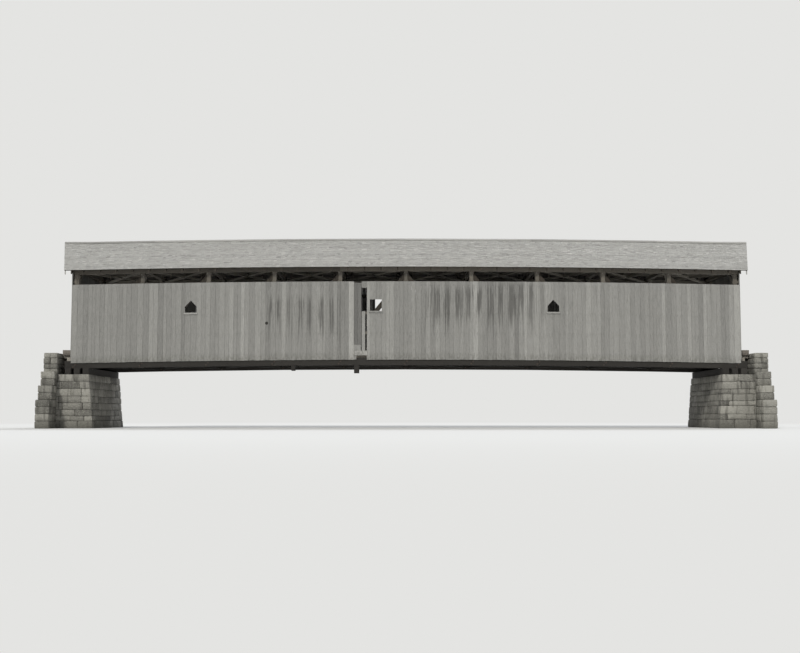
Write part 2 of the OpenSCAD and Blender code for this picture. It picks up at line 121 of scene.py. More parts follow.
def rise(x):
    """Rise of the cambered bridge at X: straight between the panel points, and 0 past the end posts."""
    return np.interp(x, POST_X, POST_RISE)


def level(x, h):
    """Height of a point h above the underside of the bottom chord."""
    return BASE_Z + rise(x) + h


def roof_h(y):
    """Underside of the roof boards above the chord, at a distance y from the ridge line."""
    return RIDGE_H - PITCH * y


# Shapes


def noise(p, seed=0):
    """Smooth noise from -1 to 1 at the points p: a random number at each whole-number corner,
    blended between the eight corners round a point by 3t^2 - 2t^3 along each axis."""
    cell = np.floor(p).astype(np.int64)
    t = p - cell
    t = t * t * (3 - 2 * t)
    total = np.zeros(p.shape[:-1])
    for corner in np.ndindex(2, 2, 2):
        c = cell + np.array(corner)
        n = (c[..., 0] * 73856093) ^ (c[..., 1] * 19349663) ^ (c[..., 2] * 83492791) ^ (seed * 7919 + 1013)
        n = ((n ^ (n >> 13)) * 1274126177) & 0xFFFFFFFF
        n = ((n ^ (n >> 16)) * 668265263) & 0xFFFFFFFF
        weight = np.prod(np.where(np.array(corner) == 1, t, 1 - t), axis=-1)
        total += weight * ((n & 0xFFFF) / 32767.5 - 1)
    return total


def spread(rng, start, end, usual, vary=0.3):
    """Joint lines from start to end: widths near the usual one, each vary more or less, scaled to fit."""
    n = max(1, round((end - start) / usual))
    width = 1 + vary * rng.uniform(-1, 1, n)
    return start + (end - start) * np.concatenate([[0], np.cumsum(width) / width.sum()])


def inside_out(rings):
    """Says for each item whether its faces point inwards: the sum of a.(b x c)/6 is then negative."""
    r = rings - rings.mean(axis=(1, 2), keepdims=True)
    s = np.roll(r, -1, axis=2)
    a, b, c, d = r[:, :-1], s[:, :-1], s[:, 1:], r[:, 1:]
    volume = (np.cross(a, b) * c).sum((1, 2, 3)) + (np.cross(a, c) * d).sum((1, 2, 3))
    for cap, sign in ((r[:, 0], -1), (r[:, -1], 1)):
        fan = np.cross(cap[:, 1:-1], cap[:, 2:])
        volume += sign * (cap[:, :1] * fan).sum((1, 2))
    return volume < 0


def tag(mesh, name, values):
    """Puts one number or one vector a point on the mesh, for the materials to read."""
    vector = values.ndim == 2
    layer = mesh.attributes.new(name, "FLOAT_VECTOR" if vector else "FLOAT", "POINT")
    layer.data.foreach_set("vector" if vector else "value", values.astype(np.float32).ravel())


def piece(name, mesh, material, nodes=(), smooth=False):
    """Makes the finished object: it rides on the one body, and stands for the CAD nodes that are named."""
    mesh.materials.append(material)
    mesh.validate()
    mesh.polygons.foreach_set("use_smooth", [smooth] * len(mesh.polygons))
    obj = bpy.data.objects.new(name, mesh)
    bpy.context.scene.collection.objects.link(obj)
    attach(obj, "root")
    if nodes:
        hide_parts(*nodes)


def part(rings, grain, tone, place=None):
    """A set of like items. rings has the shape (items, stations, points, 3), and an item runs through its
    rings in order. grain is the same array in the item's own lengths (along, across, through), tone is a
    number an item, and place is any vector a point."""
    tones = np.broadcast_to(np.asarray(tone, float), len(rings))
    return rings, grain, tones, np.zeros_like(rings) if place is None else place


def loft(name, parts):
    """One mesh of many closed tubes, with a flat cap at each end of every item."""
    co, faces, grains, tones, places, base = [], [], [], [], [], 0
    for rings, grain, tone, place in parts:
        turned = inside_out(rings)[:, None, None, None]
        rings, grain, place = (np.where(turned, v[:, :, ::-1], v) for v in (rings, grain, place))
        n, k, p, _ = rings.shape
        i = base + np.arange(n * k * p).reshape(n, k, p)
        j = np.roll(i, -1, axis=2)
        faces += np.stack([i[:, :-1], j[:, :-1], j[:, 1:], i[:, 1:]], axis=-1).reshape(-1, 4).tolist()
        faces += np.concatenate([i[:, 0, ::-1], i[:, -1]]).tolist()
        co.append(rings.reshape(-1, 3))
        grains.append(grain.reshape(-1, 3))
        places.append(place.reshape(-1, 3))
        tones.append(np.repeat(tone, k * p))
        base += n * k * p
    mesh = bpy.data.meshes.new(name)
    mesh.from_pydata(np.concatenate(co), [], faces)
    tag(mesh, "grain", np.concatenate(grains))
    tag(mesh, "tone", np.concatenate(tones))
    tag(mesh, "place", np.concatenate(places))
    return mesh


def joined(parts):
    """Stacks parts whose rings have the same shape into one part."""
    return tuple(np.concatenate([p[k] for p in parts]) for k in range(4))


def apart(rng, grain):
    """Moves each item's grain by a far random offset, so that no two items share it."""
    return grain + rng.uniform(-FAR_OFF, FAR_OFF, (len(grain), 1, 1, 3))


# A board's section: how far across from 0 to 1, and how the arrises are taken off, across and from the face
BOARD_ACROSS = np.array([0.0, 0.0, 0.33, 0.67, 1.0, 1.0, 1.0, 0.0])
BOARD_EDGE = np.array([0, 1, 0, 0, -1, 0, 0, 0])
BOARD_OUT = np.array([-1, 0, 0, 0, 0, -1])


def boards(rng, rows, thick, stations, ragged=0.012):
    """Vertical boards in wall lengths (along the wall, up, out). A row is (s0, s1, low at s0, low at s1,
    high at s0, high at s1, tone, broken low end, broken high end). A point at a across and b up is at
    s = s0 + (s1 - s0) a + a small sway, at h = low + (high - low) b, and out by the section, a cup of
    (2a - 1)^2 and a bow of the free foot of (1 - b)^4. A broken end is cut back at random."""
    r = np.array([(*row, 0.0, 0.0)[:9] for row in rows], float).T[:, :, None, None]
    s0, s1, low0, low1, high0, high1, tone, broken_low, broken_high = r
    n = len(rows)
    a = np.broadcast_to(BOARD_ACROSS, (n, stations, 8))
    b = np.broadcast_to(np.linspace(0, 1, stations)[:, None], (n, stations, 8))
    low, high = low0 + (low1 - low0) * a, high0 + (high1 - high0) * a
    low = low + ragged * rng.random((n, 1, 1)) + ragged / 3 * rng.random((n, 1, 8))
    low = low + broken_low * rng.random((n, 1, 8))
    high = high - ragged / 4 * rng.random((n, 1, 1)) - broken_high * rng.random((n, 1, 8))
    h = low + (high - low) * b
    at = np.stack([b * 3 + rng.uniform(0, 90, (n, 1, 1)), a * 0, b * 0], axis=-1)
    s = s0 + JOINT / 2 + (s1 - s0 - JOINT) * a + BOARD_EDGE * ARRIS + STRAY * noise(at, 3)
    out = np.zeros((n, stations, 8))
    out[..., :6] = thick * (1 - 0.12 * rng.random((n, 1, 1))) + BOARD_OUT * ARRIS
    out += CUP * rng.uniform(-0.4, 1, (n, 1, 1)) * ((2 * a - 1) ** 2 - 0.3)
    out += LOOSE * rng.random((n, 1, 1)) ** 3 * (1 - b) ** 4 + WAVE * noise(at + 7, 5)
    wall = np.stack([s, h, out], axis=-1)
    grain = apart(rng, np.stack([h, s - s0, out], axis=-1))
    place = np.stack([a, h, np.broadcast_to(rng.random((n, 1, 1)), a.shape)], axis=-1)
    return part(wall, grain, tone.ravel(), place)


def on_side(flat, side):
    """Carries wall lengths to a long wall. side is -1 on the near wall and 1 on the far one."""
    s, h, out = np.moveaxis(flat[0], -1, 0)
    return np.stack([s, side * (WALL_Y + out), level(s, h)], axis=-1), *flat[1:]


def on_end(flat, end):
    """Carries wall lengths to the wall over a portal. end is -1 at the left and 1 at the right."""
    s, h, out = np.moveaxis(flat[0], -1, 0)
    return np.stack([end * (FACE_X + out), s, BASE_Z + h], axis=-1), *flat[1:]


def cleat(rng, s0, s1, h0, h1, out0, out1, tone):
    """One board laid level on a wall from s0 to s1: a rectangle with its front arrises taken off."""
    rings = np.zeros((1, 3, 6, 3))
    rings[..., 0] = np.linspace(s0, s1, 3)[:, None]
    rings[..., 1] = h0 + ARRIS, h0, h0, h1, h1, h1 - ARRIS
    rings[..., 2] = out1, out1 - ARRIS, out0, out0, out1 - ARRIS, out1
    return part(rings, apart(rng, rings), tone)


def sticks(count, pairs):
    """Numbers the loose sticks of a mesh: each point takes the lowest number of those it is joined to."""
    number = np.arange(count)
    while True:
        low = number[pairs].min(axis=1)
        new = number.copy()
        np.minimum.at(new, pairs[:, 0], low)
        np.minimum.at(new, pairs[:, 1], low)
        new = new[new]
        if (new == number).all():
            return np.unique(number, return_inverse=True)[1]
        number = new


# Timber copies: how near two points are one, and the turns between faces that are flat and that are sharp
MERGE, FLAT, SHARP = 0.0002, math.radians(1), math.radians(20)


def timber_copy(rng, node, arris):
    """A copy of a CAD node as worn timber: its loose triangles are merged, its arrises are taken off, and
    each stick gets its own tone and its own lengths along and across, from the main axes of its points."""
    bm = bmesh.new()
    bm.from_mesh(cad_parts[node].data)
    bmesh.ops.remove_doubles(bm, verts=bm.verts, dist=MERGE)
    bmesh.ops.dissolve_limit(bm, angle_limit=FLAT, verts=bm.verts, edges=bm.edges)
    sharp = [e for e in bm.edges if e.is_manifold and e.calc_face_angle(0) > SHARP]
    bmesh.ops.bevel(bm, geom=sharp, offset=arris, segments=1, profile=0.5, affect="EDGES", clamp_overlap=True)
    mesh = bpy.data.meshes.new(node + "_timber")
    bm.to_mesh(mesh)
    bm.free()
    co = np.zeros(len(mesh.vertices) * 3)
    mesh.vertices.foreach_get("co", co)
    co = co.reshape(-1, 3)
    pairs = np.zeros(len(mesh.edges) * 2, int)
    mesh.edges.foreach_get("vertices", pairs)
    number = sticks(len(co), pairs.reshape(-1, 2))
    grain, tone = np.zeros_like(co), rng.normal(0.5, 0.13, number.max() + 1)[number]
    for k in range(number.max() + 1):
        mine = number == k
        c = co[mine] - co[mine].mean(0)
        grain[mine] = c @ np.linalg.eigh(c.T @ c)[1][:, ::-1] + rng.uniform(-FAR_OFF, FAR_OFF, 3)
    tag(mesh, "grain", grain)
    tag(mesh, "tone", tone)
    return mesh


# Materials


def srgb(code):
    """Linear colour of an sRGB hex value."""
    c = np.array([int(code[i : i + 2], 16) / 255 for i in (1, 3, 5)])
    c = np.where(c <= 0.04045, c / 12.92, ((c + 0.055) / 1.055) ** 2.4)
    return (*c.tolist(), 1.0)


def shade(colour, by):
    """The same colour, lighter or darker by a factor."""
    return (*[min(1.0, v * by) for v in tuple(colour)[:3]], 1.0)


MATHS = {"+": "ADD", "-": "SUBTRACT", "*": "MULTIPLY"}
SMOOTH = {"interpolation_type": "SMOOTHSTEP"}
COLOUR = {"data_type": "RGBA"}


def add(tree, kind, *values, out=None, named=None, **settings):
    """Adds a node with its settings. Values go to the inputs that the settings leave in use, in order, and
    None skips one; those in named go by name. A value is a number, a colour, a socket to link, or (socket,
    millimetres): a place measured in units of that size on each axis. Returns the output called out, each
    of a tuple of outs, or the first."""
    if kind in MATHS:
        kind, settings = "Math", {"operation": MATHS[kind]}
    node = tree.nodes.new("ShaderNode" + kind)
    for key, value in settings.items():
        setattr(node, key, value)
    inputs = [pair for pair in zip([s for s in node.inputs if s.enabled], values) if pair[1] is not None]
    inputs += [(node.inputs[key], value) for key, value in (named or {}).items()]
    for socket, value in inputs:
        if isinstance(value, tuple) and isinstance(value[0], bpy.types.NodeSocket):
            at, size = value
            value = add(tree, "VectorMath", at, [1000 / v for v in size], operation="MULTIPLY")
        if isinstance(value, bpy.types.NodeSocket):
            tree.links.new(value, socket)
        else:
            socket.default_value = value
    if isinstance(out, tuple):
        return [node.outputs[key] for key in out]
    free = [s for s in node.outputs if s.enabled]
    return node.outputs[out] if out else free[0] if free else None


def new_material(name):
    """An empty material, and the function that adds nodes to it."""
    material = bpy.data.materials.new(name)
    material.use_nodes = True
    material.node_tree.nodes.clear()
    return material, partial(add, material.node_tree)


def finish_material(put, colour, rough, relief, depth, specular=0.3):
    """Ends a material: a rough surface of that colour. A relief from 0 to 1 is so many metres deep."""
    bump = put("Bump", named={"Strength": 1.0, "Distance": depth, "Height": relief})
    surface = put("BsdfPrincipled", out="BSDF", named={
        "Base Color": colour, "Roughness": rough, "Specular IOR Level": specular, "Normal": bump})
    put("OutputMaterial", surface)


def wavering(put, at, size, by, detail=0.0):
    """Noise of that size in millimetres along each axis, from about -by / 2 to by / 2."""
    return put("*", put("-", put("TexNoise", (at, size), None, 1.0, detail), 0.5), by)


def stained(put, colour, value, low, high, most, other):
    """The colour, with up to the most of the other one mixed in as the value goes from low to high."""
    return put("Mix", put("MapRange", value, low, high, 0.0, most, **SMOOTH), colour, other, **COLOUR)


def between(put, value, start, full, ebb, end):
    """0 outside start and end, and 1 between full and ebb."""
    grows = put("MapRange", value, start, full, 0.0, 1.0, **SMOOTH)
    return put("*", grows, put("MapRange", value, ebb, end, 1.0, 0.0, **SMOOTH))


def toned(put, layers, colour, darkest):
    """The colour by the item's own tone plus layers of noise, each times its weight: the darkest share of
    it at a tone of 0.1, the colour itself at 0.5, and half as light again at 0.95."""
    value = put("Attribute", attribute_name="tone", out="Fac")
    for layer, weight in layers:
        value = put("+", value, put("*", put("-", layer, 0.5), weight))
    shown = stained(put, shade(colour, darkest), value, 0.1, 0.5, 1.0, tuple(colour))
    return stained(put, shown, value, 0.5, 0.95, 1.0, shade(colour, 1.5))


def wood(name, colour, weather=None, contrast=1.0, depth=0.004, hewn=0.0):
    """Softwood, sawn or hewn, then left to the weather. Hard and soft rings give streaks 16 mm wide and
    over a metre long, with finer ones of 4 mm; those of 45 mm are as coarse as the render needs to show
    them. Drying opens checks along the grain, and an adze leaves hollows 90 mm across. The last change to
    the colour, if one is given, is the weathering of walls, roof and floor, or painted shade of the eaves
    on the frame timbers."""
    material, put = new_material(name)
    grain = put("Attribute", attribute_name="grain", out="Vector")
    broad = put("TexNoise", (grain, (2200, 45, 45)), None, 1.0, 1.0)
    streak = put("TexNoise", (grain, (1400, 16, 16)), None, 1.0, 2.0)
    fine = put("TexNoise", (grain, (330, 4, 4)), None, 1.0, 1.0)
    layers = [(broad, 0.9 * contrast), (streak, 0.7 * contrast), (fine, 0.3 * contrast)]
    shown = toned(put, layers, colour, 0.6)
    # A check follows the line where a stretched noise crosses its middle, wherever another one allows it
    off = put("Math", wavering(put, grain, (2000, 30, 30), 1.0, 1.0), operation="ABSOLUTE")
    often = put("TexNoise", (grain, (770, 140, 140)), None, 1.0, 0.0)
    often = put("MapRange", often, 0.52, 0.62, 0.0, 1.0, **SMOOTH)
    checks = put("*", put("MapRange", off, 0.004, 0.016, 1.0, 0.0, **SMOOTH), often)
    shown = put("Mix", put("*", checks, 0.7), shown, srgb("#1e1c1a"), **COLOUR)
    if weather:
        shown = weather(put, shown)
    relief = put("+", put("*", streak, 0.35), put("*", fine, 0.15))
    relief = put("-", relief, put("*", checks, 0.8))
    if hewn:
        adze = put("TexNoise", (grain, (150, 90, 90)), None, 1.0, 0.0)
        relief = put("+", relief, put("*", adze, hewn))
    finish_material(put, shown, 0.85, relief, depth)
    return material


def wall_weather(put, colour):
    """What weather does to the boards of a wall. Rain that runs in under the eaves leaves dark curtains
    down the upper half, board by board, where the eaves leak most; nails at the girts bleed a dark streak;
    and the feet of the boards are splashed and stay damp."""
    here = put("TexCoord", out="Object")
    x = put("SeparateXYZ", here)
    place = put("Attribute", attribute_name="place", out="Vector")
    across, h, lot = put("SeparateXYZ", place, out=("X", "Y", "Z"))
    # How much the eaves leak: most in two stretches, right and left of the middle, and a little anywhere
    right = between(put, x, 0.6, 1.6, 6.2, 7.4)
    left = between(put, x, -7.6, -6.8, -3.7, -2.9)
    leak = put("+", put("+", right, left), 0.22)
    # Curtains at even steps hardly wander. Some are stronger, runs in them are 60 mm wide, and each board
    # takes its own share.
    sway = wavering(put, here, (700, 700, 1100), 0.03, 2.0)
    bent = put("VectorMath", here, put("CombineXYZ", sway), operation="ADD")
    steps = put("-", put("SeparateXYZ", bent), DRIP_X)
    steps = put("Math", put("*", steps, 2 * math.pi / DRIP_STEP), operation="COSINE")
    wet = put("*", steps, 0.11)
    share = put("*", put("-", lot, 0.5), 0.1)
    stronger = wavering(put, bent, (230, 230, 9000), 0.5)
    runs = wavering(put, bent, (60, 60, 2600), 0.35, 1.0)
    for more in (stronger, share, runs, put("*", right, 0.08)):
        wet = put("+", wet, more)
    wet = put("MapRange", wet, -0.04, 0.16, 0.0, 1.0, **SMOOTH)
    # Each runs down a different way, to about the middle of the wall, and a little further at the left
    foot = put("*", put("TexNoise", (bent, (420, 420, 9000)), None, 1.0, 0.0), 3.2)
    foot = put("+", put("+", foot, put("*", left, 0.45)), h)
    wet = put("*", wet, put("MapRange", foot, 3.1, 4.6, 0.0, 1.0, **SMOOTH))
    # They begin right under the eave only at the right; further left, lower down
    lower = put("MapRange", x, 5.0, 3.6, 0.0, 0.2, **SMOOTH)
    lower = put("+", put("+", put("*", left, 0.55), lower), h)
    wet = put("*", wet, put("MapRange", lower, 4.35, 3.85, 0.35, 1.0, **SMOOTH))
    wet = put("*", put("*", wet, leak), 0.58)
    colour = put("Mix", wet, colour, srgb("#484744"), **COLOUR)
    # Streaks under the nails
    off = put("Math", put("-", across, 0.5), operation="ABSOLUTE")
    off = put("Math", put("-", off, 0.5 - NAIL_IN), operation="ABSOLUTE")
    line = put("MapRange", off, 0.0, 0.05, 1.0, 0.0, **SMOOTH)
    bleed = 0.0
    for row in GIRT_ROWS:
        run = put("MapRange", h, row - 0.34, row - 0.02, 0.0, 1.0, **SMOOTH)
        run = put("*", run, put("MapRange", h, row - 0.005, row + 0.005, 1.0, 0.0))
        bleed = put("+", run, bleed)
    bleed = put("*", put("*", bleed, line), put("*", lot, 0.6))
    colour = put("Mix", bleed, colour, srgb("#3d3b38"), **COLOUR)
    uneven = put("MapRange", sway, -0.003, 0.0045, 0.2, 1.0, **SMOOTH)
    splash = put("*", put("MapRange", h, 0.75, 0.25, 0.0, 0.5, **SMOOTH), uneven)
    return put("Mix", splash, colour, srgb("#5d5b55"), **COLOUR)


def roof_weather(put, colour):
    """Lichen and damp on the roof: broad blotches of a metre or two, and dirt that the rain carries down."""
    here = put("TexCoord", out="Object")
    blotch = put("TexNoise", (here, (1800, 1100, 1100)), None, 1.0, 4.0, 0.6)
    colour = stained(put, colour, blotch, 0.5, 0.75, 0.35, srgb("#93928d"))
    runs = put("TexNoise", (here, (200, 1700, 1700)), None, 1.0, 2.0)
    return stained(put, colour, runs, 0.55, 0.75, 0.25, srgb("#83827c"))


def painted_eave_shade(tint):
    """Painted shade of the eaves on the frame: from the middle of the trusses outwards the colour is
    multiplied by the tint, which darkens it; inside it stays as it is."""
    def weather(put, colour):
        y = put("Math", put("SeparateXYZ", put("TexCoord", out="Object"), out="Y"), operation="ABSOLUTE")
        # Painted shade: from the middle of the trusses out to the eaves the colour is darkened by the tint
        outside = put("MapRange", y, POST_IN + 0.06, POST_OUT - 0.02, 0.0, 1.0, **SMOOTH)
        return put("Mix", outside, colour, srgb(tint), blend_type="MULTIPLY", **COLOUR)
    return weather


def floor_wear(put, colour):
    """Wheels polish two tracks along the floor, and dirt stays in the middle and along the sides."""
    here = put("TexCoord", out="Object")
    off = put("Math", put("SeparateXYZ", here, out="Y"), operation="ABSOLUTE")
    off = put("Math", put("-", off, TRACK_Y), operation="ABSOLUTE")
    patchy = put("TexNoise", (here, (1250, 500, 500)), None, 1.0, 3.0)
    polish = put("MapRange", patchy, 0.3, 0.7, 0.1, 0.6, **SMOOTH)
    track = put("*", put("MapRange", off, 0.15, 0.5, 1.0, 0.0, **SMOOTH), polish)
    colour = put("Mix", track, colour, srgb("#98928a"), **COLOUR)
    return stained(put, colour, patchy, 0.55, 0.75, 0.4, srgb("#4c4842"))


def ledge_stone(name, colour):
    """Blocks of grey ledge rock, split with wedges. Their faces show beds 70 mm thick and grit of 14 mm,
    with pale lichen in spots of 90 mm, stains where rain runs down, and damp at the foot."""
    material, put = new_material(name)
    grain = put("Attribute", attribute_name="grain", out="Vector")
    here = put("TexCoord", out="Object")
    bed = put("TexNoise", (grain, (330, 330, 70)), None, 1.0, 4.0, 0.6)
    grit = put("TexNoise", (grain, (14, 14, 14)), None, 1.0, 2.0, 0.6)
    lumps = put("TexNoise", (grain, (110, 110, 80)), None, 1.0, 4.0, 0.55)
    shown = toned(put, [(bed, 0.8), (grit, 0.35)], colour, 0.5)
    spots = put("TexNoise", (here, (90, 90, 90)), None, 1.0, 3.0, 0.7)
    shown = stained(put, shown, spots, 0.62, 0.68, 0.55, srgb("#b7b6ab"))
    rain = put("TexNoise", (here, (420, 420, 2000)), None, 1.0, 3.0, 0.6)
    shown = stained(put, shown, rain, 0.5, 0.72, 0.5, srgb("#494742"))
    damp = put("+", put("SeparateXYZ", here, out="Z"), put("*", rain, 0.8))
    shown = stained(put, shown, damp, 1.1, 0.4, 0.5, srgb("#43423b"))
    relief = put("+", put("*", lumps, 0.8), put("*", grit, 0.12))
    finish_material(put, shown, 0.88, relief, 0.03)
    return material


def rusted_iron(name):
    """Wrought iron that has rusted for years: dark, brown in patches of 26 mm, and no longer shiny."""
    material, put = new_material(name)
    patch = put("TexNoise", (put("TexCoord", out="Object"), (26, 26, 26)), None, 1.0, 3.0, 0.6)
    shown = stained(put, srgb("#2b2927"), patch, 0.4, 0.62, 1.0, srgb("#51443a"))
    finish_material(put, shown, 0.72, patch, 0.002, 0.4)
    return material


def finish(name):
    """A material of the bridge by its name, made the first time it is asked for."""
    colours = bpy.context.scene.bridge_colours
    made = {
        # Rough-sawn spruce boards, never painted and silvered by the weather
        "weathered_spruce_boards": lambda n: wood(n, colours.siding, wall_weather),
        # Newer hemlock boards let in where old ones had gone: they have darkened and not yet silvered
        "darkened_hemlock_boards": lambda n: wood(n, colours.patch, wall_weather, contrast=1.2),
        # Split cedar shingles, bleached to a pale silver by sun and rain
        "bleached_cedar_shingles": lambda n: wood(n, colours.shingles, roof_weather, 0.5, 0.003),
        # Sawn boards, rafters and braces under the roof, brown with dust; from the middle of the trusses out
        # to the eaves they are much darker, painted shade of the eaves
        "dusty_roof_boards": lambda n: wood(n, colours.roof_frame, painted_eave_shade("#68645f"), contrast=0.9),
        # Hemlock timber hewn with an adze, brown going grey; from the middle of the trusses outwards it is
        # darker, painted shade of the eaves
        "hewn_hemlock_timber": lambda n: wood(n, colours.timber, painted_eave_shade("#acaaa7"), depth=0.006, hewn=0.5),
        # The same timber painted nearly black: painted shade on the bottom chords, the bed timbers and the
        # beams under the floor
        "damp_hewn_timber": lambda n: wood(n, colours.shade_black_timber, depth=0.006, hewn=0.5),
        # Sawn boards of the ridge, the verges and the sills, silvered like the siding and a little paler
        "silvered_trim_boards": lambda n: wood(n, shade(colours.siding, 1.2)),
        # Thick hemlock planks, worn and dusty
        "worn_floor_planks": lambda n: wood(n, colours.planks, floor_wear),
        # Grey ledge rock, split and laid with thin joints
        "split_ledge_rock": lambda n: ledge_stone(n, colours.stone),
        # Small stones packed behind the face, in the stone's colour at a fifth of its lightness: painted
        # shade in the joints
        "packed_hearting": lambda n: ledge_stone(n, shade(colours.stone, 0.2)),
        "rusted_wrought_iron": rusted_iron,
    }[name]
    return bpy.data.materials.get(name) or made(name)


def lay(name, parts, material, nodes=(), smooth=False):
    """Makes one piece of the parts, in the material of that name."""
    piece(name, loft(name, parts), finish(material), nodes, smooth)


# Stones

# A rounded square from -1 to 1, of 16 points: three round each corner and one at the middle of each side
CORNER = np.array([(0.86, -1), (0.96, -0.96), (1, -0.86), (1, 0)])
QUARTERS = [((1, 0), (0, 1)), ((0, -1), (1, 0)), ((-1, 0), (0, -1)), ((0, 1), (-1, 0))]
STONE_LOOP = np.concatenate([CORNER @ np.array(turn).T for turn in QUARTERS])
# Stations along a stone from -1 to 1, and how far the section draws in at each
STONE_ALONG = np.array([-1, -0.975, -0.9, -0.4, 0.4, 0.9, 0.975, 1.0])
STONE_DRAW = np.array([0.88, 0.955, 1, 1, 1, 1, 0.955, 0.88])
# How far noise moves a stone's face, how far the stone leans, and how far in the hearting begins
RELIEF, LEAN, BEHIND = 0.013, np.array([0.016, 0.016, 0.01]), 0.05
# Depth of the facing stones and of the seat's front row, and height of the seat, the cope and a back course
FACING, SEAT_DEPTH, SEAT_T, COPE_T, BACK_COURSE = (0.34, 0.44), 0.78, 0.36, 0.26, 0.29


def stones(rng, boxes, joint):
    """Rough blocks. A box is (x0, x1, y0, y1, z0, z1). Each block is a rounded square section carried along
    its longer side through 8 stations, drawn in at both ends. Its sides lean, its faces swell in the
    middle, and noise moves its points in and out, never past the box."""
    b = np.array(boxes, float)
    n = len(b)
    low, high = b[:, ::2], b[:, 1::2]
    mid, half = (low + high) / 2, (high - low) / 2 - joint / 2
    axis = np.where(half[:, 0] >= half[:, 1], 0, 1)[:, None, None]
    shape = np.zeros((n, 8, 16, 3))
    item, station, point = np.ogrid[:n, :8, :16]
    shape[item, station, point, axis] = STONE_ALONG[:, None]
    shape[item, station, point, 1 - axis] = STONE_LOOP[:, 0] * STONE_DRAW[:, None]
    shape[..., 2] = STONE_LOOP[:, 1] * STONE_DRAW[:, None]
    where = shape * half[:, None, None] + mid[:, None, None]
    rough = np.stack([noise(where * 3.1 + k * 17.3, 11 + k) for k in range(3)], axis=-1)
    rough += 0.6 * np.stack([noise(where * 9.3 + k * 29.7, 31 + k) for k in range(3)], axis=-1)
    lean = rng.uniform(-1, 1, (n, 1, 1, 3)) * LEAN
    face = np.abs(shape) > 0.99
    middle = (face.sum(-1, keepdims=True) == 1) * face * np.sign(shape)
    where = where + rough * RELIEF * np.array([1, 1, 0.6]) + lean * shape[..., [1, 2, 0]]
    where = where + middle * RELIEF * 0.7
    where = np.clip(where, (low + joint * 0.2)[:, None, None], (high - joint * 0.2)[:, None, None])
    return part(where, apart(rng, where), rng.normal(0.5, 0.17, n).clip(0.08, 0.92))


def row_of(rng, start, end, usual, shortest=0.24):
    """Ends of the stones in a row, none shorter than the shortest."""
    lines = spread(rng, start, end, usual, 0.5)
    keep = [lines[0]]
    for v in lines[1:-1]:
        if v - keep[-1] > shortest and lines[-1] - v > shortest:
            keep.append(v)
    return list(zip(keep, keep[1:] + [lines[-1]]))


def abutment_stones(rng, sizes):
    """All the stones of the left abutment, square; the batter is put on afterwards. In every second course
    the long rows take the corners, and in the others the short rows do. Long flat stones end the seat and
    the back wall."""
    boxes = []
    w, usual = ABUT_W, sizes.stone_length
    body = spread(rng, 0, SEAT_Z - SEAT_T, sizes.stone_course, 0.35)
    for k, (z0, z1) in enumerate(zip(body, body[1:])):
        deep = rng.uniform(*FACING)
        dx, dy = (deep, 0.0) if k % 2 else (0.0, deep)
        for x in (-BACK_END, -FRONT_X - deep):
            boxes += [(x, x + deep, a, b, z0, z1) for a, b in row_of(rng, dy - w, w - dy, usual)]
        for y in (-w, w - deep):
            ends = row_of(rng, dx - BACK_END, -FRONT_X - dx, usual)
            boxes += [(a, b, y, y + deep, z0, z1) for a, b in ends]
    split = -FRONT_X - SEAT_DEPTH
    for xa, xb in ((split, -FRONT_X), (-BACK_X, split), (-BACK_END, -BACK_X)):
        boxes += [(xa, xb, a, b, body[-1], SEAT_Z) for a, b in row_of(rng, -w, w, usual * 1.25)]
    top = BASE_Z + ROAD_H
    wall = [*spread(rng, SEAT_Z, top - COPE_T, BACK_COURSE, 0.2), top]
    for k, (z0, z1) in enumerate(zip(wall, wall[1:])):
        cope = z1 == top
        cuts = [-BACK_END, -BACK_X] if k % 2 or cope else [-BACK_END, -(BACK_X + BACK_END) / 2, -BACK_X]
        for xa, xb in zip(cuts, cuts[1:]):
            boxes += [(xa, xb, a, b, z0, z1) for a, b in row_of(rng, -w, w, usual * (1.4 if cope else 1.0))]
    return boxes


def wing_stones(rng):
    """The stones of the left abutment's two stepped wing walls: two courses to a step, four at the foot."""
    boxes = []
    for k in range(8):
        reach = ABUT_W + WING_STEP * (3 if k < 4 else 2 if k < 6 else 1)
        for side in (-1, 1):
            for a, b in row_of(rng, ABUT_W, reach, 0.62 if k % 3 == 1 else 0.45, 0.2):
                y0, y1 = sorted((side * a, side * b))
                boxes.append((-BACK_END, -BACK_X, y0, y1, k * WING_RISE, (k + 1) * WING_RISE))
    return boxes


def battered(rings):
    """Carries the front part of the square stones out to the battered face: X goes on by batter times the
    depth below the seat, in the share of its way from the back of the abutment to the front."""
    x, y, z = np.moveaxis(rings, -1, 0)
    share = np.clip((x + BACK_END) / (BACK_END - FRONT_X), 0, 1)
    return np.stack([x + share * BATTER * np.clip(SEAT_Z - z, 0, SEAT_Z), y, z], axis=-1)


def hearting(boxes):
    """What fills the walls behind the joints: plain boxes a little smaller than the walls."""
    b = np.array(boxes, float)
    low, high = b[:, ::2] + BEHIND, b[:, 1::2] - BEHIND
    low[:, 2] = b[:, 4]
    corner = np.array([[(0, 0, t), (1, 0, t), (1, 1, t), (0, 1, t)] for t in (0, 1)])
    rings = low[:, None, None] + (high - low)[:, None, None] * corner
    return part(rings, rings + 3.0, 0.5)


# Roof

# Heights above the underside of the roof boards: their top, the sheet of older courses, a shingle's butt
ROOF_BOARD_T, UNDER_LOW, UNDER_HIGH, BUTT_LIFT = 0.026, 0.028, 0.036, 0.056
# A shingle: thickness of its butt, drop of its head's underside, taper a course, lap and most curl
BUTT_T, HEAD_T, TAPER, LAP, CURL = 0.016, 0.022, 0.013, 0.035, 0.007
# How far its butt strays from the line, how much shorter a split one is, and the gap beside it
BUTT_STRAY, SPLIT, SHINGLE_GAP = (-0.012, 0.004), (0.02, 0.05), (0.001, 0.0035)
# Where the shingles begin under the ridge boards
HEAD_TOP = 0.004
# Roof boards: usual length, half the joint at an end, and half the open joint along an edge
ROOF_BOARD_L, END_JOINT, OPEN_JOINT = 4.2, 0.002, (0.004, 0.014)


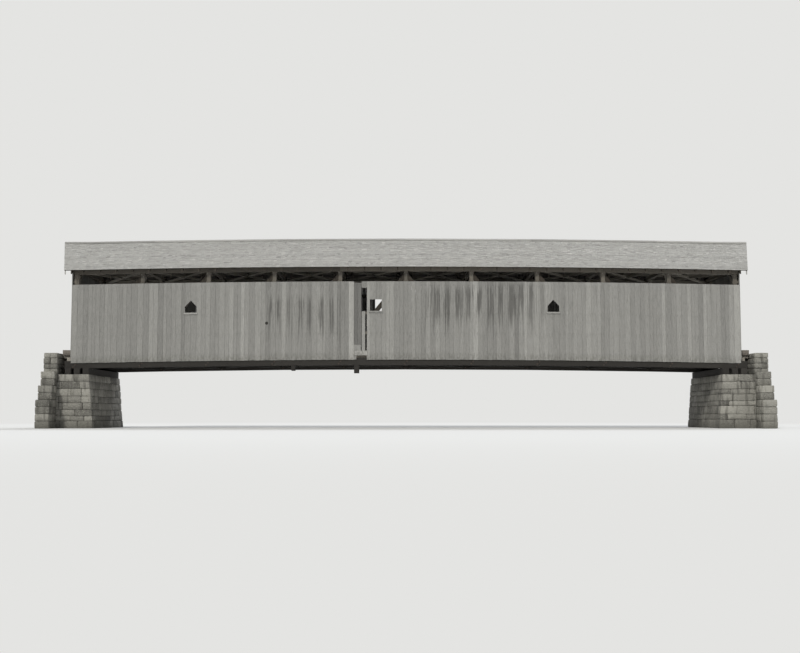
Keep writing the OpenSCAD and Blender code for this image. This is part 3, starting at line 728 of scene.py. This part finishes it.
def slope_point(x, t, lift, side):
    """A point of the roof, t down the slope and lift out from the underside of the roof boards: Y is
    (t + pitch x lift) / slant, and Z is (lift - pitch x t) / slant more than at the ridge line."""
    y = t / SLANT + lift * PITCH / SLANT
    z = BASE_Z + rise(x) + RIDGE_H - PITCH * t / SLANT + lift / SLANT
    return np.stack([x, side * y, z], axis=-1)


def rake_x(t):
    """How far the roof runs past the middle of the bridge, at t down the slope."""
    return RIDGE_END - (RIDGE_END - EAVE_END) * t / SLOPE


def shingles(rng, side, sizes):
    """Courses of shingles from the eave up. Each is a wedge: thick at its butt, where it lies on the course
    below, and thin where the next course covers it. Widths, butt lines and curl are random, a few butts are
    split short, and the last ones in a course are cut to the rake."""
    show = sizes.shingle_show
    t_butt, x0, x1, tone = [], [], [], []
    for k in range(int((SLOPE - 0.04) // show) + 1):
        t = SLOPE - k * show
        lines = spread(rng, -rake_x(t - show), rake_x(t - show), sizes.shingle_width, 0.55)
        n = len(lines) - 1
        short = (rng.random(n) < 0.01) * rng.uniform(*SPLIT, n)
        t_butt.append(t + (k > 0) * rng.uniform(*BUTT_STRAY, n) - short)
        x0.append(lines[:-1])
        x1.append(lines[1:])
        tone.append(rng.normal(0.5, 0.085, n) + 0.04 * rng.normal())
    t_butt, x0, x1, tone = (np.concatenate(v) for v in (t_butt, x0, x1, tone))
    gap = rng.uniform(*SHINGLE_GAP, len(x0))
    top = np.maximum(t_butt - show - LAP, HEAD_TOP)
    thin = TAPER * (t_butt - top) / show
    lift = BUTT_LIFT + rng.uniform(-0.003, 0.003, len(x0))
    curl = rng.uniform(0, 1, (2, len(x0))) ** 4 * CURL
    rings, local = np.zeros((2, len(x0), 2, 4, 3))
    for k, x in enumerate((x0 + gap, x1 - gap)):
        section = (t_butt, lift - BUTT_T), (t_butt, lift + curl[k]), (top, lift - thin), (top, lift - HEAD_T)
        for j, (t, up) in enumerate(section):
            rings[:, k, j] = slope_point(np.clip(x, -rake_x(t), rake_x(t)), t, up, side)
            local[:, k, j] = np.stack([t, x, up], axis=-1)
    wide = rings[:, 1, 1, 0] - rings[:, 0, 1, 0] > 0.02
    return part(rings[wide], apart(rng, local[wide]), tone[wide])


def under_courses(side):
    """The older courses under the shingles, as one thin sheet that follows the camber."""
    x = np.pad(POST_X, 1)
    rings = np.zeros((1, len(x), 4, 3))
    low = SLOPE - 0.03
    loop = (HEAD_TOP, UNDER_LOW), (low, UNDER_LOW), (low, UNDER_HIGH), (HEAD_TOP, UNDER_HIGH)
    for j, (t, lift) in enumerate(loop):
        x[0], x[-1] = -rake_x(t) + 0.02, rake_x(t) - 0.02
        rings[0, :, j] = slope_point(x, np.full(len(x), t), lift, side)
    return part(rings, rings + 5.0, 0.2)


def roof_boards(rng, side, sizes):
    """Boards laid across the rafters' backs with open joints, in lengths that break at random. They show
    from below between the rafters."""
    parts = []
    lines = spread(rng, 0.02, SLOPE - 0.004, sizes.roof_board, 0.2)
    for t0, t1 in zip(lines, lines[1:]):
        end = rake_x(t1) - 0.01
        cuts = spread(rng, -end, end, ROOF_BOARD_L, 0.3)
        x = np.linspace(cuts[:-1] + END_JOINT, cuts[1:] - END_JOINT, 6, axis=1)
        g0, g1 = t0 + rng.uniform(*OPEN_JOINT), t1 - rng.uniform(*OPEN_JOINT)
        rings, local = np.zeros((2, *x.shape, 4, 3))
        for j, (t, lift) in enumerate(((g0, 0.0), (g1, 0.0), (g1, ROOF_BOARD_T), (g0, ROOF_BOARD_T))):
            rings[:, :, j] = slope_point(x, np.full(x.shape, t), lift, side)
            local[:, :, j] = np.stack([x, np.full(x.shape, t), np.full(x.shape, lift)], axis=-1)
        parts.append(part(rings, apart(rng, local), rng.normal(0.5, 0.15, len(x))))
    return joined(parts)


# Floor

# Planks: half the joint, and how much their lengths and their tops vary
PLANK_JOINT, END_VARY, TOP_VARY = 0.003, 0.03, 0.006


def hollow(y):
    """How deep the wheels have worn the floor at Y: a track's depth times exp(-(distance / width)^2)."""
    return TRACK_D * np.exp(-(((np.abs(y) - TRACK_Y) / TRACK_W) ** 2))


def planks(rng, sizes):
    """Planks laid across the floor: a rectangle with its upper arrises worn, carried across the road
    through 9 stations, with the wheels' tracks hollowed out of the tops."""
    lines = spread(rng, -DECK_END, DECK_END, sizes.plank_width, 0.22)
    x0, x1 = (lines[:-1] + PLANK_JOINT)[:, None, None], (lines[1:] - PLANK_JOINT)[:, None, None]
    n = len(x0)
    across, up = np.array([0, 0, 0.06, 0.94, 1, 1]), np.array([0, 0.86, 1, 1, 0.86, 0])
    half = DECK_HALF - rng.uniform(0, END_VARY, (n, 1, 1))
    y = np.linspace(-1, 1, 9)[None, :, None] * half + np.zeros((n, 9, 6))
    x = x0 + (x1 - x0) * across + np.zeros((n, 9, 6))
    h = ROAD_H - DECK_T + up * (DECK_T - rng.uniform(0, TOP_VARY, (n, 1, 1))) - hollow(y) * (up > 0.5)
    rings = np.stack([x, y, level(x, h)], axis=-1)
    return part(rings, apart(rng, np.stack([y, x, h], axis=-1)), rng.normal(0.5, 0.15, n))


# Ironwork and pegs

# Half widths of the bolts' square washers and nuts, and how far bolts and pegs are from a post's middle
WASHER, NUT, PIN_OFF = 0.055, 0.032, 0.05


def turned(at, axis, profile, sides, turn=0.0):
    """Turned pieces at many places: each (r, d) of the profile is a ring of radius r, d out on the axis."""
    at, axis = np.array(at, float), np.array(axis, float)
    first = np.array([1.0, 0, 0]) if abs(axis[0]) < 0.9 else np.array([0, 1.0, 0])
    second = np.cross(axis, first)
    angle = 2 * np.pi * (np.arange(sides) + 0.5) / sides + np.broadcast_to(turn, len(at))[:, None]
    angle = angle[:, None, :, None]
    r, d = np.array(profile, float).T[:, None, :, None, None]
    rings = at[:, None, None] + r * (np.cos(angle) * first + np.sin(angle) * second) + d * axis
    return part(rings, rings.copy(), 0.5)


def in_line(x, y, h):
    """Points at each X and at one Y, each h above the underside of the chord."""
    return np.stack([x, np.full(len(x), y), level(x, h)], axis=-1)


def chord_bolts(rng, side):
    """Two bolts through the foot of each post: on the outer chord timber below the siding, and on the inner
    one. Each has a square washer, a square nut and the end of the bolt in it, turned a little differently."""
    parts = []
    for y, way, rows in ((LEAF_OUT, 1, (0.07, 0.19)), (LEAF_IN, -1, (0.1, 0.28))):
        x = np.concatenate([POST_X - PIN_OFF, POST_X + PIN_OFF])
        at, axis = in_line(x, side * y, np.repeat(rows, len(POST_X))), (0, side * way, 0)
        plate = [(WASHER, -0.004), (WASHER, 0.007), (WASHER * 0.94, 0.009)]
        nut = [(NUT, 0.006), (NUT, 0.025), (NUT * 0.88, 0.028)]
        parts.append(turned(at, axis, plate, 4, rng.uniform(-0.1, 0.1, len(x))))
        parts.append(turned(at, axis, nut, 4, rng.uniform(0, 1.5, len(x))))
        parts.append(turned(at, axis, [(NUT * 0.38, 0.02), (NUT * 0.38, 0.036), (NUT * 0.26, 0.04)], 8))
    return parts


def pegs(rng, side):
    """Oak pegs through the heads and the feet of the posts, where the braces and the chords are pinned."""
    parts = []
    for y, way in ((POST_OUT, 1), (POST_IN, -1)):
        x = np.concatenate([POST_X - PIN_OFF, POST_X + PIN_OFF, POST_X])
        h = np.repeat([TOP_H - 0.08, TOP_H - 0.2, CHORD_D + 0.09], len(POST_X))
        at = in_line(x, side * y, h + rng.uniform(-0.01, 0.01, len(x)))
        profile = [(0.02, -0.01), (0.019, 0.008), (0.014, 0.013)]
        parts.append(turned(at, (0, side * way, 0), profile, 7, rng.uniform(0, 1, len(x))))
    return parts


def board_nails(rng, rows, girts):
    """Two cut nails through each board at each girt that it crosses, in wall lengths: heads of 5 sides."""
    s0, s1, low0, low1, high0, high1 = np.array([row[:6] for row in rows]).T[..., None]
    girts = np.asarray(girts)[None]
    crossed = (np.maximum(low0, low1) + 0.03 < girts) & (girts < np.minimum(high0, high1) - 0.03)
    s = np.stack([s0 + (s1 - s0) * a + 0 * girts for a in (NAIL_IN, 1 - NAIL_IN)])[:, crossed].ravel()
    h = np.stack([girts + 0 * s0] * 2)[:, crossed].ravel()
    angle = 2 * np.pi * np.arange(5) / 5
    rings = np.zeros((len(s), 2, 5, 3))
    rings[..., 0] = (s + rng.uniform(-0.008, 0.008, len(s)))[:, None, None]
    rings[..., 1] = (h + rng.uniform(-0.025, 0.025, len(s)))[:, None, None]
    for k, (r, out) in enumerate(NAIL_HEAD):
        wide = r * rng.uniform(0.85, 1.15, (len(s), 1))
        rings[:, k, :, 0] += wide * np.cos(angle)
        rings[:, k, :, 1] += wide * np.sin(angle)
        rings[:, k, :, 2] = out
    return part(rings, rings.copy(), 0.5)


# The rows of boards


def plain_rows(rng, start, end, usual, low, high):
    """Full boards from start to end. Most are alike in tone, and a few stand out."""
    lines = spread(rng, start, end, usual)
    n = len(lines)
    tone = rng.normal(0.5, 0.09, n) + (rng.random(n) < 0.12) * rng.normal(0, 0.1, n)
    return [(s, e, low, low, high, high, t) for s, e, t in zip(lines, lines[1:], tone)]


def wall_rows(rng, fixed, windows, usual):
    """Rows for the boards of a long wall: full height between the fixed lines, and cut round each window."""
    rows = []
    for a, b in zip(fixed, fixed[1:]):
        over = [w for w in windows if abs((a + b) / 2 - w[0]) < w[1]]
        if not over:
            rows += plain_rows(rng, a, b, usual, WALL_LOW, WALL_HIGH)
            continue
        x, half, sill, spring, top = over[0]
        head = [top - (top - spring) * abs(s - x) / half for s in (a, b)]
        rows.append((a, b, WALL_LOW, WALL_LOW, sill, sill, rng.normal(0.5, 0.08)))
        rows.append((a, b, *head, WALL_HIGH, WALL_HIGH, rng.normal(0.5, 0.08)))
    return rows


def near_rows(rng, usual):
    """The near wall's rows, with what is left round the patch, the lost board and the rotted foot."""
    fixed = [[x - half, x, x + half] for x, half, *_ in NEAR_WINDOWS]
    left = wall_rows(rng, [-FACE_X, *fixed[0], BY_PATCH, PATCH[0]], NEAR_WINDOWS, usual)
    left[-1] = (*left[-1][:6], 0.85)
    # Two strips under the patch, what is left of the lost board under and over the gap, and the next board
    middle = [
        (PATCH[0], ROT_X, WALL_LOW, WALL_LOW, PATCH_LOW, PATCH_LOW, 0.5),
        (ROT_X, GAP[0] - 0.02, ROT_H, ROT_H, PATCH_LOW, PATCH_LOW, 0.55, 0.05, 0.0),
        (GAP[0] + 0.01, GAP[1] - 0.08, ROT_H, ROT_H, GAP_H[0], GAP_H[0], 0.62, 0.04, 0.05),
        (GAP[0], GAP[1], GAP_H[1], GAP_H[1], WALL_HIGH, WALL_HIGH, 0.36, 0.08, 0.0),
        (GAP[1], fixed[1][0], WALL_LOW, WALL_LOW, WALL_HIGH, WALL_HIGH, 0.7),
    ]
    right = wall_rows(rng, [*fixed[1], *PALE, *fixed[2], FACE_X], NEAR_WINDOWS, usual)
    pale = [abs(r[0] - PALE[0]) < 0.01 or abs(r[1] - PALE[1]) < 0.01 for r in right]
    return left + middle + [(*r[:6], 0.64) if p else r for r, p in zip(right, pale)]


def gable_rows(rng, usual):
    """Boards over the portal, cut to the slope of the roof at their heads."""
    lines = np.concatenate([spread(rng, -SKIN_Y, 0, usual, 0.2), spread(rng, 0, SKIN_Y, usual, 0.2)[1:]])
    top, low = roof_h(np.abs(lines)) - 0.004, PORTAL_H
    heads = zip(lines, lines[1:], top, top[1:])
    return [(a, b, low, low, ta, tb, rng.normal(0.5, 0.1)) for a, b, ta, tb in heads]


def portal_rows(rng):
    """Boards beside the portal, and the short ones that clip its upper corners."""
    rows = []
    edges = (SKIN_Y, 2.62, PORTAL_W, 2.17, 1.94, 1.72)
    for side in (-1, 1):
        for a, b in zip(edges[1:], edges):
            a, b = sorted((side * a, side * b))
            clipped = PORTAL_SPRING + (PORTAL_W - np.abs([a, b])) / PORTAL_CLIP * (PORTAL_H - PORTAL_SPRING)
            low = clipped if clipped.min() > PORTAL_SPRING - 0.001 else (PORTAL_LOW, PORTAL_LOW)
            rows.append((a, b, *low, PORTAL_H, PORTAL_H, rng.normal(0.5, 0.1)))
    return rows


# Settings


def length(name, description, default, low, high):
    """A setting in metres."""
    return FloatProperty(
        name=name, description=description, default=default, min=low, max=high, unit="LENGTH")


def colour(name, description, code):
    """A setting that holds a colour."""
    return FloatVectorProperty(
        name=name, description=description, subtype="COLOR", size=4, default=srgb(code), min=0, max=1)


class BridgeSizes(bpy.types.PropertyGroup):
    """Usual sizes of the small pieces"""

    board_width: length("Siding board", "Usual width of a siding board", 0.235, 0.12, 0.4)
    roof_board: length("Roof board", "Usual width of a board under the shingles", 0.21, 0.1, 0.4)
    shingle_width: length("Shingle width", "Usual width of a shingle", 0.17, 0.08, 0.3)
    shingle_show: length("Shingle exposure", "Length of each shingle left uncovered", 0.15, 0.1, 0.25)
    plank_width: length("Floor plank", "Usual width of a floor plank", 0.25, 0.15, 0.4)
    stone_course: length("Stone course", "Usual height of a course of stones", 0.34, 0.2, 0.6)
    stone_length: length("Stone length", "Usual length of a stone", 0.7, 0.4, 1.5)
    stone_joint: length("Stone joint", "Width of the joints between stones", 0.014, 0.005, 0.04)
    arris: length("Worn arris", "How much is worn off the arrises of the frame timbers", 0.007, 0.001, 0.02)
    seed: IntProperty(name="Seed", description="Start of every random choice", default=5, min=0, max=999)


class BridgeColours(bpy.types.PropertyGroup):
    """Colours of the finishes and of the stage"""

    siding: colour("Siding", "Weathered boards of the walls", "#8a8985")
    patch: colour("Patch", "Newer boards let into the near wall", "#6c6b68")
    shingles: colour("Shingles", "Bleached shingles of the roof", "#a8a7a3")
    roof_frame: colour("Roof frame", "Rafters, roof boards and braces, brown with dust", "#979188")
    timber: colour("Timber", "Hewn timber of the trusses", "#959087")
    # Nearly black: painted shade on the chords and under the floor
    shade_black_timber: colour("Shade black timber", "Hewn timber of the chords and under the floor", "#2f2d2a")
    planks: colour("Planks", "Floor planks", "#77716a")
    stone: colour("Stone", "Stones of the abutments", "#84827b")
    floor: colour("Floor", "Plain floor that the bridge stands on", "#e4e4e2")
    backdrop: colour("Backdrop", "Behind the bridge", "#e4e4e2")


# Operators


class BRIDGE_OT_siding(bpy.types.Operator):
    """Boards the two long walls, with the patch and the gap of the lost board"""

    bl_idname = "bridge.siding"
    bl_label = "Siding"

    def execute(self, context):
        sizes = context.scene.bridge_sizes
        rng = np.random.default_rng(sizes.seed)
        spruce, usual = "weathered_spruce_boards", sizes.board_width
        near = near_rows(rng, usual)
        parts = [boards(rng, near, BOARD_T, 9), cleat(rng, *FOOT_BOARD, 0.95)]
        lay("near_siding_boards", [on_side(p, -1) for p in parts], spruce, ["near_siding"])
        m = (PATCH[0] + PATCH[1]) / 2
        patch = [(a, b, PATCH_LOW, PATCH_LOW, top, top, tone) for a, b, top, tone in (
            (PATCH[0], m, PATCH_HIGH[0], 0.45), (m, PATCH[1], PATCH_HIGH[1], 0.55))]
        parts = [on_side(boards(rng, patch, PATCH_T, 9), -1)]
        lay("patch_boards_let_in", parts, "darkened_hemlock_boards", ["patch_boards"])
        fixed = sorted([-FACE_X, FACE_X] + [x + k * half for x, half, *_ in FAR_WINDOWS for k in (-1, 0, 1)])
        far = wall_rows(rng, fixed, FAR_WINDOWS, usual)
        closing = plain_rows(rng, *CLOSED_BAY, usual, WALL_HIGH + 0.002, CLOSED_H)
        parts = [boards(rng, far, BOARD_T, 9), boards(rng, closing, BOARD_T, 4, ragged=0.002)]
        lay("far_siding_boards", [on_side(p, 1) for p in parts], spruce, ["far_siding"])
        nails = [on_side(board_nails(rng, near + patch, GIRT_ROWS), -1),
                 on_side(board_nails(rng, far + closing, [*GIRT_ROWS, CLOSING_GIRT]), 1)]
        lay("siding_nails", nails, "rusted_wrought_iron")
        # A near-black disc, a little proud of the near wall at the knot hole: painted shade of the hole
        hole_shade = (KNOT_HOLE[0], -WALL_Y - 0.024, level(*KNOT_HOLE))
        parts = [turned([hole_shade], (0, -1, 0), [(0.085, 0), (0.08, 0.0035), (0.05, 0.004)], 14)]
        lay("near_wall_hole_shade", parts, "damp_hewn_timber")
        return {"FINISHED"}


class BRIDGE_OT_ends(bpy.types.Operator):
    """Boards the gables and the walls beside the portals"""

    bl_idname = "bridge.ends"
    bl_label = "Gables and portals"

    def execute(self, context):
        sizes = context.scene.bridge_sizes
        rng = np.random.default_rng(sizes.seed + 1)
        nails = []
        for end, name in ((-1, "left"), (1, "right")):
            for kind, rows, stations, girts in (
                ("gable", gable_rows(rng, sizes.board_width), 5, [PORTAL_H + 0.2, TOP_H + TOP_D - 0.1]),
                ("portal", portal_rows(rng), 7, PORTAL_GIRTS),
            ):
                parts = [on_end(boards(rng, rows, BOARD_T, stations, ragged=0.005), end)]
                lay(f"{name}_{kind}_siding", parts, "weathered_spruce_boards",
                    [f"{name}_{kind}_boards"])
                nails.append(on_end(board_nails(rng, rows, girts), end))
        lay("end_wall_nails", nails, "rusted_wrought_iron")
        return {"FINISHED"}


class BRIDGE_OT_roof(bpy.types.Operator):
    """Lays the roof boards and the courses of shingles"""

    bl_idname = "bridge.roof"
    bl_label = "Roof"

    def execute(self, context):
        sizes = context.scene.bridge_sizes
        rng = np.random.default_rng(sizes.seed + 2)
        for side, name in ((-1, "near"), (1, "far")):
            parts = [shingles(rng, side, sizes), under_courses(side)]
            lay(f"{name}_shingles", parts, "bleached_cedar_shingles", [f"{name}_roof"])
            lay(f"{name}_roof_boards", [roof_boards(rng, side, sizes)], "dusty_roof_boards")
        return {"FINISHED"}


class BRIDGE_OT_floor(bpy.types.Operator):
    """Planks the floor and spikes it down"""

    bl_idname = "bridge.floor"
    bl_label = "Floor"

    def execute(self, context):
        sizes = context.scene.bridge_sizes
        rng = np.random.default_rng(sizes.seed + 3)
        laid = planks(rng, sizes)
        lay("floor_planks", [laid], "worn_floor_planks", ["deck"])
        middle = laid[0][:, 4, :, 0].mean(axis=1)
        x = np.concatenate([middle + dx for dx in (-0.06, 0.06) for _ in SPIKE_ROWS])
        y = np.tile(np.repeat(SPIKE_ROWS, len(middle)), 2) + rng.uniform(-0.03, 0.03, len(x))
        at = np.stack([x, y, level(x, ROAD_H - 0.006 - hollow(y))], axis=-1)
        head = [(0.011, -0.004), (0.0105, 0.0035), (0.008, 0.0055)]
        spikes = turned(at, (0, 0, 1), head, 5, rng.uniform(0, 1, len(x)))
        lay("floor_spikes", [spikes], "rusted_wrought_iron")
        return {"FINISHED"}


class BRIDGE_OT_masonry(bpy.types.Operator):
    """Lays the stones of the abutments and the wing walls"""

    bl_idname = "bridge.masonry"
    bl_label = "Masonry"

    def execute(self, context):
        sizes = context.scene.bridge_sizes
        body = [(-BACK_END, -FRONT_X, -ABUT_W, ABUT_W, 0, SEAT_Z),
                (-BACK_END, -BACK_X, -ABUT_W, ABUT_W, SEAT_Z - 0.2, BASE_Z + ROAD_H)]
        wings = []
        for s in (-1, 1):
            for n in (1, 2, 3):
                y = sorted((s * (ABUT_W - 0.1), s * (ABUT_W + WING_STEP * n)))
                wings.append((-BACK_END, -BACK_X, *y, 0, WING_RISE * (10 - 2 * n)))
        for name, mirror, seed in (("left", 1, 4), ("right", -1, 5)):
            rng = np.random.default_rng(sizes.seed + seed)
            for kind, boxes, inner in (
                ("abutment", abutment_stones(rng, sizes), body),
                ("wing_walls", wing_stones(rng), wings),
            ):
                for what, (rings, *rest), material, nodes in (
                    ("stones", stones(rng, boxes, sizes.stone_joint), "split_ledge_rock", [f"{name}_{kind}"]),
                    ("hearting", hearting(inner), "packed_hearting", []),
                ):
                    rings = (battered(rings) if kind == "abutment" else rings) * np.array([mirror, 1, 1])
                    label, smooth = f"{name}_{kind}_{what}", what == "stones"
                    lay(label, [(rings, *rest)], material, nodes, smooth)
        return {"FINISHED"}


class BRIDGE_OT_frame(bpy.types.Operator):
    """Gives the frame timbers worn arrises, a tone of their own and grain along each stick"""

    bl_idname = "bridge.frame"
    bl_label = "Frame timbers"

    def execute(self, context):
        sizes = context.scene.bridge_sizes
        rng = np.random.default_rng(sizes.seed + 6)
        worn, trim = sizes.arris, 0.003
        lots = (
            ("truss_timber", "hewn_hemlock_timber", worn,
             "near_posts far_posts near_top_chord far_top_chord floor_beams stringers tie_beams knee_braces "
             "upper_laterals near_girts far_girts left_portal_frame right_portal_frame"),
            ("truss_timber", "dusty_roof_boards", worn, "near_rafters far_rafters near_braces far_braces"),
            # Painted shade: the chords, bed timbers and beams under the floor are nearly black
            ("dark_timber", "damp_hewn_timber", worn,
             "left_bed_timbers right_bed_timbers near_bottom_chord far_bottom_chord lower_laterals "
             "needle_beams"),
            ("siding_boards", "silvered_trim_boards", trim, "left_verge right_verge window_sills"),
            ("roof_shingles", "silvered_trim_boards", trim, "ridge_boards"),
            ("floor_planks", "worn_floor_planks", worn, "wheel_guards"),
        )
        for slot, material, arris, nodes in lots:
            for node in nodes.split():
                piece(f"{node}_timber", timber_copy(rng, node, arris), finish(material), [node])
        return {"FINISHED"}


class BRIDGE_OT_joinery(bpy.types.Operator):
    """Bolts the feet of the posts between the chord timbers and pegs their heads"""

    bl_idname = "bridge.joinery"
    bl_label = "Bolts and pegs"

    def execute(self, context):
        rng = np.random.default_rng(context.scene.bridge_sizes.seed + 7)
        for side, name in ((-1, "near"), (1, "far")):
            lay(f"{name}_chord_bolts", chord_bolts(rng, side), "rusted_wrought_iron")
            lay(f"{name}_post_pegs", pegs(rng, side), "silvered_trim_boards")
        return {"FINISHED"}


def lamp(name, azimuth, elevation, strength, angle, code):
    """A distant lamp. Azimuth 0 is in front of the near wall, and 90 at the right-hand end."""
    data = bpy.data.lights.new(name, "SUN")
    data.energy, data.angle, data.color = strength, math.radians(angle), srgb(code)[:3]
    obj = bpy.data.objects.new(name, data)
    a, e = math.radians(azimuth), math.radians(elevation)
    way = Vector((math.sin(a) * math.cos(e), -math.cos(a) * math.cos(e), math.sin(e)))
    obj.rotation_euler = way.to_track_quat("Z", "Y").to_euler()
    obj.location = way * 60
    bpy.context.scene.collection.objects.link(obj)


class BRIDGE_OT_stage(bpy.types.Operator):
    """Sets up the floor, the light and the camera"""

    bl_idname = "bridge.stage"
    bl_label = "Stage"

    def execute(self, context):
        scene = context.scene
        colours = scene.bridge_colours
        scene.view_settings.view_transform = "Standard"
        world = bpy.data.worlds.new("soft_studio")
        scene.world = world
        world.use_nodes = True
        world.node_tree.nodes.clear()
        put = partial(add, world.node_tree)
        rays = ("Is Camera Ray", "Is Glossy Ray", "Is Transmission Ray")
        camera_ray, glossy, through = put("LightPath", out=rays)
        seen = put("Math", glossy, through, operation="MAXIMUM")
        seen = put("Math", camera_ray, seen, operation="MAXIMUM")
        light = put("Background", srgb("#e9ebee"), 0.52)
        shown = put("Background", tuple(colours.backdrop), 1.0)
        put("OutputWorld", put("MixShader", seen, light, shown))

        reach = 600.0
        mesh = bpy.data.meshes.new("plain_floor")
        corners = [(-reach, -reach, 0), (reach, -reach, 0), (reach, reach, 0), (-reach, reach, 0)]
        mesh.from_pydata(corners, [], [(0, 1, 2, 3)])
        floor = bpy.data.objects.new("plain_floor", mesh)
        scene.collection.objects.link(floor)
        # Matt painted floor that fades into the backdrop far out; from below it isn't seen
        material, put = new_material("matt_studio_floor")
        mesh.materials.append(material)
        camera_ray = put("LightPath", out="Is Camera Ray")
        distance = put("VectorMath", put("TexCoord", out="Object"), operation="LENGTH", out="Value")
        fade = put("*", camera_ray, put("MapRange", distance, 24.0, 56.0, 0.0, 1.0, **SMOOTH))
        near, far = put("BsdfDiffuse", tuple(colours.floor)), put("Emission", tuple(colours.backdrop), 1.0)
        below = put("*", put("NewGeometry", out="Backfacing"), camera_ray)
        surface = put("MixShader", fade, near, far)
        put("OutputMaterial", put("MixShader", below, surface, put("BsdfTransparent")))

        # The key stands in front and high, so that the eaves shade just the posts' heads, as in the photo
        lamp("key", -22, 36, 2.08, 8, "#fffdf8")
        lamp("back_fill", 160, 48, 1.2, 20, "#f6f9ff")

        # The photo is taken square to the wall, from far off and from below the floor of the bridge
        data = bpy.data.cameras.new("camera")
        camera = bpy.data.objects.new("camera", data)
        scene.collection.objects.link(camera)
        eye, target = Vector((-0.3, -60.0, 0.6)), Vector((-0.3, 0.0, 5.35))
        camera.location = eye
        camera.rotation_euler = (target - eye).to_track_quat("-Z", "Y").to_euler()
        data.lens, data.sensor_width = 51.0, 36.0
        data.clip_start, data.clip_end = 1.0, 2000.0
        scene.camera = camera
        return {"FINISHED"}


class BRIDGE_PT_panel(bpy.types.Panel):
    """Lists the bridge's settings and the steps that build it"""

    bl_idname = "BRIDGE_PT_panel"
    bl_label = "Covered bridge"
    bl_space_type = "VIEW_3D"
    bl_region_type = "UI"
    bl_category = "Bridge"

    def draw(self, context):
        for group in (context.scene.bridge_sizes, context.scene.bridge_colours):
            box = self.layout.box()
            for key in type(group).__annotations__:
                box.prop(group, key)
        for operator in OPERATORS:
            self.layout.operator(operator.bl_idname)


OPERATORS = (BRIDGE_OT_siding, BRIDGE_OT_ends, BRIDGE_OT_roof, BRIDGE_OT_floor, BRIDGE_OT_masonry,
             BRIDGE_OT_frame, BRIDGE_OT_joinery, BRIDGE_OT_stage)
CLASSES = (BridgeSizes, BridgeColours, *OPERATORS, BRIDGE_PT_panel)


def register():
    for cls in CLASSES:
        bpy.utils.register_class(cls)
    bpy.types.Scene.bridge_sizes = PointerProperty(type=BridgeSizes)
    bpy.types.Scene.bridge_colours = PointerProperty(type=BridgeColours)


def unregister():
    del bpy.types.Scene.bridge_colours
    del bpy.types.Scene.bridge_sizes
    for cls in reversed(CLASSES):
        bpy.utils.unregister_class(cls)


def main():
    register()
    bpy.ops.bridge.siding()
    bpy.ops.bridge.ends()
    bpy.ops.bridge.roof()
    bpy.ops.bridge.floor()
    bpy.ops.bridge.masonry()
    bpy.ops.bridge.frame()
    bpy.ops.bridge.joinery()
    bpy.ops.bridge.stage()


if __name__ == "__main__":
    main()
